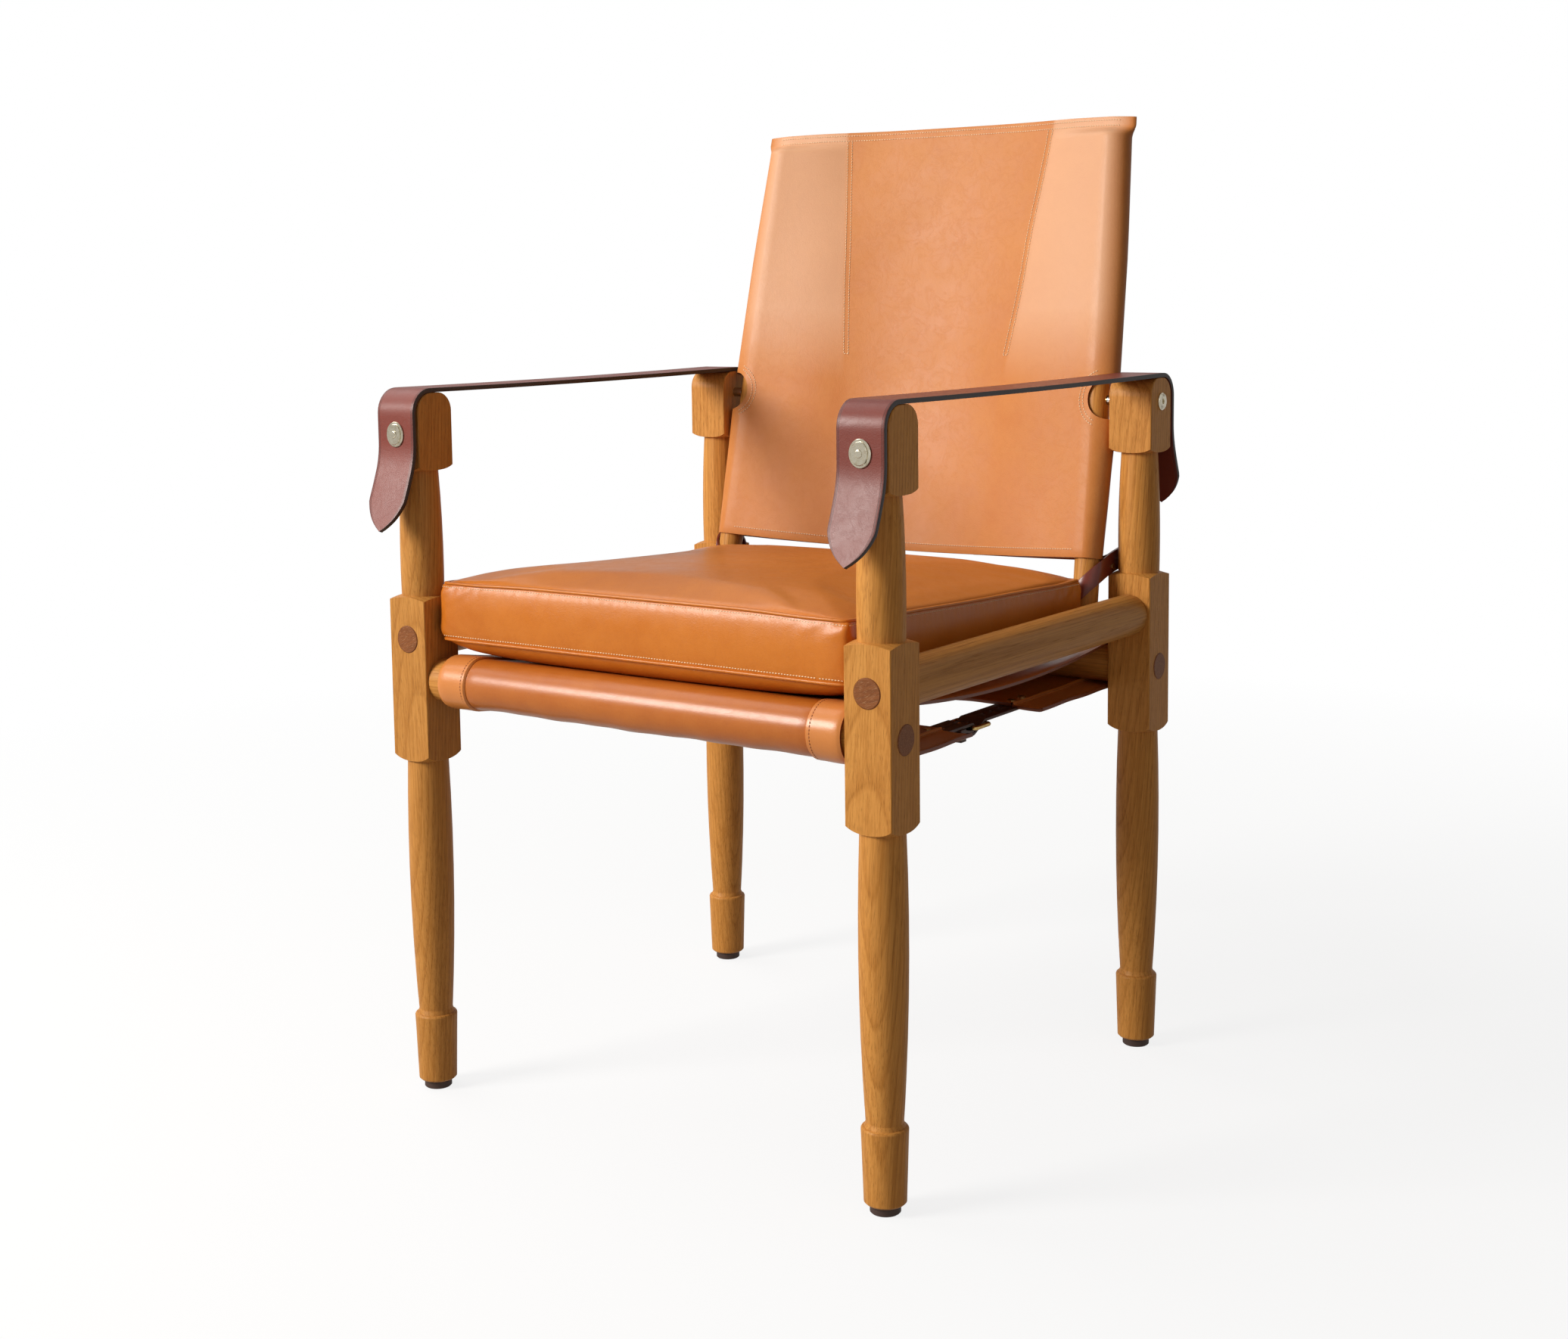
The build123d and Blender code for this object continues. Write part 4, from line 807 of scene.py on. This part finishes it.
def frontV(u, h):
    u = abs(u)
    wave = 0.0006 * math.sin(u * 24 + 0.7) * math.sin(h * 17 + u * 9) + 0.0004 * math.sin(h * 41 + u * 33)
    postX, reach, skin = sleeveAt(h, topAt(u))
    seamX, sag = atLevel(h, 2), atLevel(h, 3)
    seamV = sag * back["seamSag"]
    if u <= seamX:
        return sag + (seamV - sag) * (u / seamX) ** 2 + wave
    if u <= postX:
        share = (u - seamX) / (postX - seamX)
        curved = share + back["pocketCurve"] * math.sin(math.pi * share) * (1 - share)
        return seamV + (-skin - seamV) * curved + wave * (1 - share)
    return -roundPost(u, postX, reach, skin)


def rearV(u, h):
    u = abs(u)
    postX, reach, skin = sleeveAt(h, topAt(u))
    seamX, apart = atLevel(h, 2), back["wall"] * back["facesApart"]
    if u <= seamX:
        return frontV(u, h) + apart
    if u <= postX:
        share = (u - seamX) / (postX - seamX)
        start = frontV(seamX, h) + apart
        curved = share + back["pocketCurve"] * math.sin(math.pi * share)
        return max(start + (skin - start) * curved, frontV(u, h) + apart)
    return roundPost(u, postX, reach, skin)


def halfStations():
    stations = [("front", k / 22) for k in range(23)]
    stations += [("line", k / 12) for k in range(1, 13)]
    stations += [("turn", k / 20) for k in range(1, 20)]
    stations += [("back", k / 12) for k in range(13)]
    return stations + [("flap", k / 2) for k in range(1, 3)]


def stationPlace(kind, share, h):
    postX, reach, skin = sleeveAt(h, topAt(back["postX"]))
    seamX = atLevel(h, 2)
    if kind == "front":
        return seamX * share, frontV
    if kind == "line":
        return seamX + (postX - seamX) * share, frontV
    if kind == "turn":
        turn = math.pi * (share - 0.5)
        return postX + reach * math.cos(turn), lambda u, h: skin * math.sin(turn)
    if kind == "back":
        return postX + (seamX - postX) * share, rearV
    return seamX - back["flapPast"] * share, rearV


def makeBack():
    half = halfStations()
    stations = [(-1, s) for s in half[:0:-1]] + [(1, s) for s in half]
    low = back["coarseTo"]
    shares = [low * k / 44 for k in range(44)] + [low + (1 - low) * k / 18 for k in range(19)]

    def heightAt(u, j):
        return hemAt(u) + (topAt(u) - hemAt(u)) * shares[j]

    def place(i, j):
        side, (kind, share) = stations[i]
        h = heightAt(back["postX"] if kind == "turn" else back["levels"][2][2], j)
        # the place across follows the height, which follows the hem and top there
        for _ in range(2):
            u, face = stationPlace(kind, share, h)
            h = heightAt(u, j)
        return backPoint(side * u, face(u, h), h)

    piece = makeSheet("backSling", len(stations) - 1, len(shares) - 1, place, back["wall"], backHide, tanEdge)
    for side in (-1, 1):
        deselect()
        centre = backPoint(side * (back["postX"] + back["cutFrom"]), 0, 0)
        bpy.ops.mesh.primitive_cylinder_add(vertices=64, radius=back["cutOut"], depth=0.12, location=centre,
                                            rotation=(quarter - tilt, 0, 0))
        cutter = bpy.context.object
        cutter.data.materials.append(tanEdge)
        cutAway(piece, cutter)
    smoothByAngle(piece)
    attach(piece, "back")
    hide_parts("back_leather")
    return piece


def backSpot(u, h, rear=False):
    # a point just above the leather's face, and the way out of it
    face, way, step = (rearV, 1, 0.0006) if rear else (frontV, -1, 0.0006)
    lean = (face(abs(u) + step, h) - face(abs(u) - step, h)) / (2 * step)
    up = (backOut - Vector((lean if u >= 0 else -lean, 0, 0))).normalized() * way
    return backPoint(u, face(u, h), h) + up * (back["wall"] / 2 + back["threadLift"]), up


def backSeams():
    stitches = []
    outer = back["postX"] - back["rowEnd"]
    us = [-outer + 2 * outer * k / 300 for k in range(301)]
    low, high = back["sewnFrom"], topAt(back["levels"][-1][2]) - back["topRows"][1]
    for side in (-1, 1):
        for rear in (False, True):
            for inset in (0, back["rowGap"]):
                heights = [low + (high - low) * k / 120 for k in range(121)]
                stitches += sewRow([backSpot(side * (atLevel(h, 2) - inset), h, rear) for h in heights])
            ends = [atLevel(low, 2) - back["rowGap"] * k / 6 for k in range(7)]
            stitches += sewRow([backSpot(side * u, low, rear) for u in ends])
    for inset in back["topRows"]:
        stitches += sewRow([backSpot(u, topAt(u) - inset) for u in us])
        for side in (-1, 1):
            part = [u for u in us if u * side > back["rearTopFrom"]]
            stitches += sewRow([backSpot(u, topAt(u) - inset, True) for u in part])
    hem = [backSpot(u, hemAt(u) + back["hemRow"]) for u in us]
    stitches += sewRow(hem)
    # the centre of the panel shows the hem's thread on its rear face too
    middle = [spot for u, spot in zip(us, hem) if abs(u) < back["rearHemTo"]]
    stitches += sewRow([(spot - up * back["wall"], -up) for spot, up in middle])
    turns = [math.pi * (0.5 + k / 60) for k in range(61)]
    for side in (-1, 1):
        for past in back["cutRows"]:
            radius = back["cutOut"] + past
            ring = [(back["postX"] + back["cutFrom"] + radius * math.cos(t), radius * math.sin(t)) for t in turns]
            stitches += sewRow([backSpot(side * u, h) for u, h in ring if u < back["postX"] + back["rowsPastPost"]])
    return stitches


backSling = makeBack()
backThread = makeStitches("backThread", backSeams(), "back", threadMat)
print("stage: back leather")


# arm straps: thick belts over the leg tops with pointed, curling tails
arm = dict(thickness=0.004, standOff=0.003, bend=0.021, gap=0.0003, bendZ=0.608, kneeZ=0.582, kneeOut=0.0125,
           tipZ=0.542, tipOut=0.0285, tailBend=0.085, kneeBend=0.12, pointLength=0.027, pointBulge=0.0036, sag=0.0012,
           pointBlunt=0.0005, rowStep=0.0035, columns=12, edge=0.0007)


def pointWidth(rise, half):
    length, bulge = arm["pointLength"], arm["pointBulge"]
    if rise >= length:
        return half
    chord = math.hypot(half, length)
    best = arm["pointBlunt"]
    for k in range(201):
        q = k / 200
        swell = 4 * bulge * q * (1 - q)
        if length * q - swell * half / chord <= rise:
            best = max(best, half * q + swell * length / chord)
    return min(half, best)


def makeArmStrap(side):
    sideName = "right" if side > 0 else "left"
    low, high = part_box("leg_front_" + sideName)
    rearLow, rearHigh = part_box("leg_rear_" + sideName)
    x, half = (low[0] + high[0]) / 2, (high[0] - low[0]) / 2
    front, rear = (low[1] + high[1]) / 2, (rearLow[1] + rearHigh[1]) / 2
    skin = arm["thickness"] / 2
    faceOut = half + arm["standOff"] + skin
    strapZ = high[2] + arm["gap"] + skin
    bends = [arm["kneeBend"], arm["tailBend"], arm["bend"]]
    corners = []
    for legY, way in ((front, -1), (rear, 1)):
        tail = [Vector((x, legY + way * (half + arm["tipOut"] + skin), arm["tipZ"])),
                Vector((x, legY + way * (half + arm["kneeOut"] + skin), arm["kneeZ"])),
                Vector((x, legY + way * faceOut, arm["bendZ"])), Vector((x, legY + way * faceOut, strapZ))]
        corners += tail if way < 0 else tail[::-1]
    route = resample(roundedRoute(corners, bends + bends[::-1]), arm["rowStep"])
    # finer rows at the pointed tips
    tips = [route[0].lerp(route[1], k / 4) for k in range(4)]
    route = tips + route[1:-1] + [route[-1].lerp(route[-2], k / 4) for k in range(3, -1, -1)]

    def place(i, j):
        spot = route[j]
        share = i / arm["columns"] * 2 - 1
        span = min(1, max(0, (spot.y - front) / (rear - front)))
        drop = arm["sag"] * 4 * span * (1 - span) if spot.z > strapZ - 0.003 else 0
        return Vector((x + share * pointWidth(spot.z - arm["tipZ"], half), spot.y, spot.z - drop))

    piece = makeSheet("armBelt_" + sideName, arm["columns"], len(route) - 1, place, arm["thickness"], armHide,
                      darkEdge, arm["edge"])
    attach(piece, "frame")
    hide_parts("arm_strap_" + sideName)


for side in (-1, 1):
    makeArmStrap(side)
print("stage: arm straps")


# small straps: copies of the frame's own, with eased edges
# the working hole of a billet runs on past the buckle's bar, so that the open tongue hangs through it
billetHole = dict(width=0.0044, past=0.0060, meets=0.0060, depth=0.03, roundShare=0.98)
# where a loop strap lets go of the leg and where it holds the post: half width, then depth and height
loopTie = dict(legX=0.232, postX=0.222, leg=(-0.003, 0.488), post=(-0.022, 0.482), rivetEdge=0.0003)


def bevelUprights(piece, offset, wanted=lambda edge: True):
    bpy.ops.object.transform_apply(location=True, rotation=False, scale=True)
    bpy.ops.object.mode_set(mode="EDIT")
    mesh = bmesh.from_edit_mesh(piece.data)
    for edge in mesh.edges:
        edge.select_set(abs(edge.verts[0].co.z - edge.verts[1].co.z) > 0.01 and wanted(edge))
    bmesh.update_edit_mesh(piece.data)
    bpy.ops.mesh.bevel(offset=offset, segments=8, affect="EDGES")


def billetHoleCutter(number):
    bar = jointPlaces[f"buckle_{number}_swing"]
    width, past, meets = billetHole["width"], billetHole["past"], billetHole["meets"]
    deselect()
    bpy.ops.mesh.primitive_cube_add(size=1, location=(bar.x, bar.y + (meets - past) / 2, bar.z))
    hole = bpy.context.object
    hole.dimensions = (width, past + meets, billetHole["depth"])
    bevelUprights(hole, width / 2 * billetHole["roundShare"], lambda edge: edge.verts[0].co.y < bar.y)
    bpy.ops.object.mode_set(mode="OBJECT")
    return hole


def tieLoop(piece, side):
    ends = [(side * loopTie[end + "X"], pivot.y + loopTie[end][0], loopTie[end][1]) for end in ("leg", "post")]
    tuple(ends[0])
    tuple(ends[1])
    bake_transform(piece)


for name in nodes:
    if name.startswith(("sling_chape", "sling_billet", "strap_keeper")):
        cutter = billetHoleCutter(name[-1]) if name.startswith("sling_billet") else None
        newName = name.replace("sling_", "underSeat_").replace("strap_", "underSeat_")
        piece = softCopy(name, newName, billetHide, cutter=cutter)
        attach(piece, "frame")
for sideName, side in (("left", -1), ("right", 1)):
    loop = softCopy("post_loop_" + sideName, "footLoop_" + sideName, darkHide)
    tieLoop(loop, side)
loopRivets = softCopy("loop_rivets", "footLoopRivets", brass, edge=loopTie["rivetEdge"])
tieLoop(loopRivets, 0)
print("stage: small straps")


# loose cushion: boxed edge between two lipped seams, filled out by a cloth simulation
cushion = dict(width=0.452, depth=0.419, boxing=0.054, corner=0.028, drawIn=0.004, topCrown=0.0225, topEdge=0.0085,
               bottomCrown=0.032, bottomEdge=0.0135, edgeRound=0.011, frontOverhang=0.0085, frontSeamZ=0.494,
               slope=2.3, voxel=0.005, frames=14, capTop=0.003, capSide=0.002, lipOut=0.0026, lipThick=0.0024,
               lipTuck=0.002, rowFromLip=0.0034, restGap=0.0004, pucker=0.00022, seatSag=0.0045, cornerFall=0.0035,
               cornerFold=0.0007, seamReach=0.03, rowSpots=560, sewnWithin=0.008, sewnRise=0.0032)
cloth = dict(use_pressure=True, uniform_pressure_force=4.0, vertex_group_mass="sewn", quality=5, mass=0.4,
             tension_stiffness=18, compression_stiffness=18, bending_stiffness=1.5)
slope = math.radians(cushion["slope"])
cushionUp = Vector((0, math.sin(slope), math.cos(slope)))
cushionBack = Vector((0, math.cos(slope), -math.sin(slope)))
cushionFront = frontRail.y - cushion["frontOverhang"]
cushionHeart = Vector((0, cushionFront + cushion["depth"] / 2 * math.cos(slope),
                       cushion["frontSeamZ"] - cushion["depth"] / 2 * math.sin(slope)))


def sagAt(y):
    return cushion["seatSag"] * max(0, 1 - (2 * y / cushion["depth"]) ** 2)


def fallAt(x, y, z):
    return cushion["cornerFall"] * smooth(0.262, 0.306, math.hypot(x, y)) * smooth(-cushion["boxing"] * 0.9, 0, z)


def toCushion(point):
    offset = point - cushionHeart
    y = offset.dot(cushionBack)
    z = offset.dot(cushionUp) + sagAt(y)
    return Vector((offset.x, y, z + fallAt(offset.x, y, z)))


def fromCushion(local):
    x, y, z = local
    z -= sagAt(y) + fallAt(x, y, z)
    return cushionHeart + Vector((x, 0, 0)) + cushionBack * y + cushionUp * z


def cushionStart():
    deselect()
    bpy.ops.mesh.primitive_cube_add(size=1, location=(0, 0, -cushion["boxing"] / 2))
    piece = bpy.context.object
    piece.name = piece.data.name = "seatCushion"
    piece.dimensions = (cushion["width"], cushion["depth"], cushion["boxing"])
    bevelUprights(piece, cushion["corner"])
    bpy.ops.mesh.select_all(action="DESELECT")
    bpy.ops.object.mode_set(mode="OBJECT")
    useModifier(piece, "REMESH", mode="VOXEL", voxel_size=cushion["voxel"], adaptivity=0)
    halfX, halfY, rim = cushion["width"] / 2, cushion["depth"] / 2, cushion["edgeRound"]
    for vertex in piece.data.vertices:
        x, y, z = vertex.co
        nearX, nearY = min(1, abs(x) / halfX), min(1, abs(y) / halfY)
        edge = (1 - math.exp(-max(0, halfX - abs(x)) / rim)) * (1 - math.exp(-max(0, halfY - abs(y)) / rim))
        fall = (1 - nearX ** 2.4) * (1 - nearY ** 2.4)
        middle = smooth(-cushion["boxing"] * 0.9, -cushion["boxing"] * 0.1, z)
        top = cushion["topEdge"] * edge + (cushion["topCrown"] - cushion["topEdge"]) * fall
        bottom = cushion["bottomEdge"] * edge + (cushion["bottomCrown"] - cushion["bottomEdge"]) * fall
        z += top * middle - bottom * (1 - middle)
        x -= math.copysign(cushion["drawIn"] * nearX ** 3 * (1 - nearY ** 2), x)
        y -= math.copysign(cushion["drawIn"] * nearY ** 3 * (1 - nearX ** 2), y)
        vertex.co = fromCushion((x, y, z))
    return piece


def restOnSling(piece):
    for vertex in piece.data.vertices:
        floor = slingTop(vertex.co.y) + cushion["restGap"]
        if vertex.co.z < floor:
            vertex.co.z = floor


def fillCushion(piece):
    starts = [v.co.copy() for v in piece.data.vertices]
    group = piece.vertex_groups.new(name="sewn")
    pins = []
    for k, point in enumerate(starts):
        local = toCushion(point)
        rim = max(abs(local.x) - cushion["width"] / 2, abs(local.y) - cushion["depth"] / 2) > -cushion["sewnWithin"]
        atSeam = rim and min(abs(local.z), abs(local.z + cushion["boxing"])) < cushion["sewnRise"]
        resting = point.z < slingTop(point.y) + cushion["restGap"] + 0.0006 and local.z < -cushion["boxing"]
        if atSeam or resting:
            pins.append(k)
    group.add(pins, 1, "REPLACE")
    filling = piece.modifiers.new("filling", "CLOTH")
    setAll(filling.settings, cloth)
    filling.settings.effector_weights.gravity = 0
    filling.collision_settings.use_collision = False
    filling.point_cache.frame_end = cushion["frames"] + 1
    scene = bpy.context.scene
    for k in range(1, cushion["frames"] + 1):
        scene.frame_set(k)
    pick(piece)
    bpy.ops.object.modifier_apply(modifier="filling")
    scene.frame_set(1)
    piece.vertex_groups.clear()
    for vertex, start in zip(piece.data.vertices, starts):
        local = toCushion(start)
        onTop = smooth(0, 0.01, local.z) + smooth(0, 0.01, -cushion["boxing"] - local.z)
        cap = cushion["capSide"] + (cushion["capTop"] - cushion["capSide"]) * min(1, onTop)
        move = vertex.co - start
        if move.length > cap:
            vertex.co = start + move * (cap / move.length)


def finishCushion(piece):
    restOnSling(piece)
    useModifier(piece, "SMOOTH", factor=0.5, iterations=3)
    restOnSling(piece)
    useModifier(piece, "SUBSURF", levels=1, render_levels=1)
    for vertex in piece.data.vertices:
        local = toCushion(vertex.co)
        if -cushion["boxing"] < local.z < 0:
            deep = min(-local.z, local.z + cushion["boxing"])
            run = math.atan2(local.y, local.x) * 0.22
            fold = math.sin(run * 640 + 2 * math.sin(run * 90)) + 0.6 * math.sin(run * 1130)
            out = Vector((local.x, local.y, 0)).normalized()
            cornerish = smooth(0.255, 0.30, math.hypot(local.x, local.y))
            amount = cushion["pucker"] * fold * math.exp(-deep / 0.010) * (0.6 + 1.6 * cornerish)
            lean = run * 420 + deep * 260 + math.sin(run * 60)
            amount += (cushion["cornerFold"] * math.sin(lean) * cornerish * smooth(0.022, 0.002, deep)
                       * smooth(-0.001, 0.004, deep))
            vertex.co = fromCushion((local.x + out.x * amount, local.y + out.y * amount, local.z))
    smoothByAngle(piece, 180)


def seamSpots(piece, height):
    halfX, halfY, corner = cushion["width"] / 2, cushion["depth"] / 2, cushion["corner"]
    outline, spots = [], []
    for cx, cy, first in ((1, -1, -90), (1, 1, 0), (-1, 1, 90), (-1, -1, 180)):
        for k in range(13):
            turn = math.radians(first + 90 * k / 12)
            outline.append(Vector((cx * (halfX - corner) + corner * math.cos(turn),
                                   cy * (halfY - corner) + corner * math.sin(turn), 0)))
    outline.append(outline[0].copy())
    loop = resample(outline, 4 * (halfX + halfY) / cushion["rowSpots"])[:-1]
    for k, point in enumerate(loop):
        ahead = (loop[(k + 1) % len(loop)] - loop[k - 1]).normalized()
        out = Vector((ahead.y, -ahead.x, 0))
        start, end = (fromCushion((point.x + out.x * reach, point.y + out.y * reach, height))
                      for reach in (cushion["seamReach"], -cushion["seamReach"]))
        hit, place, _, _ = piece.ray_cast(start, (end - start).normalized())
        if hit:
            spots.append((place, (fromCushion((out.x, out.y, 0)) - cushionHeart).normalized()))
    return spots


def makeLip(name, piece, height, mat):
    # the lip's section: depth out of the seam and height, the first and last points tucked into it
    shares = [(0.2, 0.5), (0.75, 0.5), (0.95, 0.32), (1, 0), (0.95, -0.32), (0.75, -0.5), (0.2, -0.5)]
    profile = [(reach * cushion["lipOut"], lift) for reach, lift in shares]
    profile = [(-cushion["lipTuck"], 0.55), *profile, (-cushion["lipTuck"], -0.55)]
    spots = seamSpots(piece, height)
    count, across = len(spots), len(profile)
    points = [place + outward * depth + cushionUp * (lift * cushion["lipThick"])
              for place, outward in spots for depth, lift in profile]
    faces = []
    for k in range(count):
        after = (k + 1) % count
        for j in range(across):
            beside = (j + 1) % across
            faces.append([k * across + j, after * across + j, after * across + beside, k * across + beside])
    lip = meshPiece(name, points, faces, mat)
    pick(lip)
    bpy.ops.object.mode_set(mode="EDIT")
    bpy.ops.mesh.select_all(action="SELECT")
    bpy.ops.mesh.normals_make_consistent(inside=False)
    bpy.ops.object.mode_set(mode="OBJECT")
    smoothByAngle(lip, 60)
    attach(lip, "cushion")


seatCushion = cushionStart()
restOnSling(seatCushion)
fillCushion(seatCushion)
finishCushion(seatCushion)
seatCushion.data.materials.append(seatHide)
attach(seatCushion, "cushion")
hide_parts("seat_cushion")
for name, height in (("upperLip", 0), ("lowerLip", -cushion["boxing"])):
    makeLip("seatCushion_" + name, seatCushion, height, seatHide)
rows = []
for height in (-cushion["rowFromLip"], cushion["rowFromLip"] - cushion["boxing"]):
    rows += sewRow(seamSpots(seatCushion, height))
makeStitches("seatCushionThread", rows, "cushion", threadMat)
print("stage: cushion")
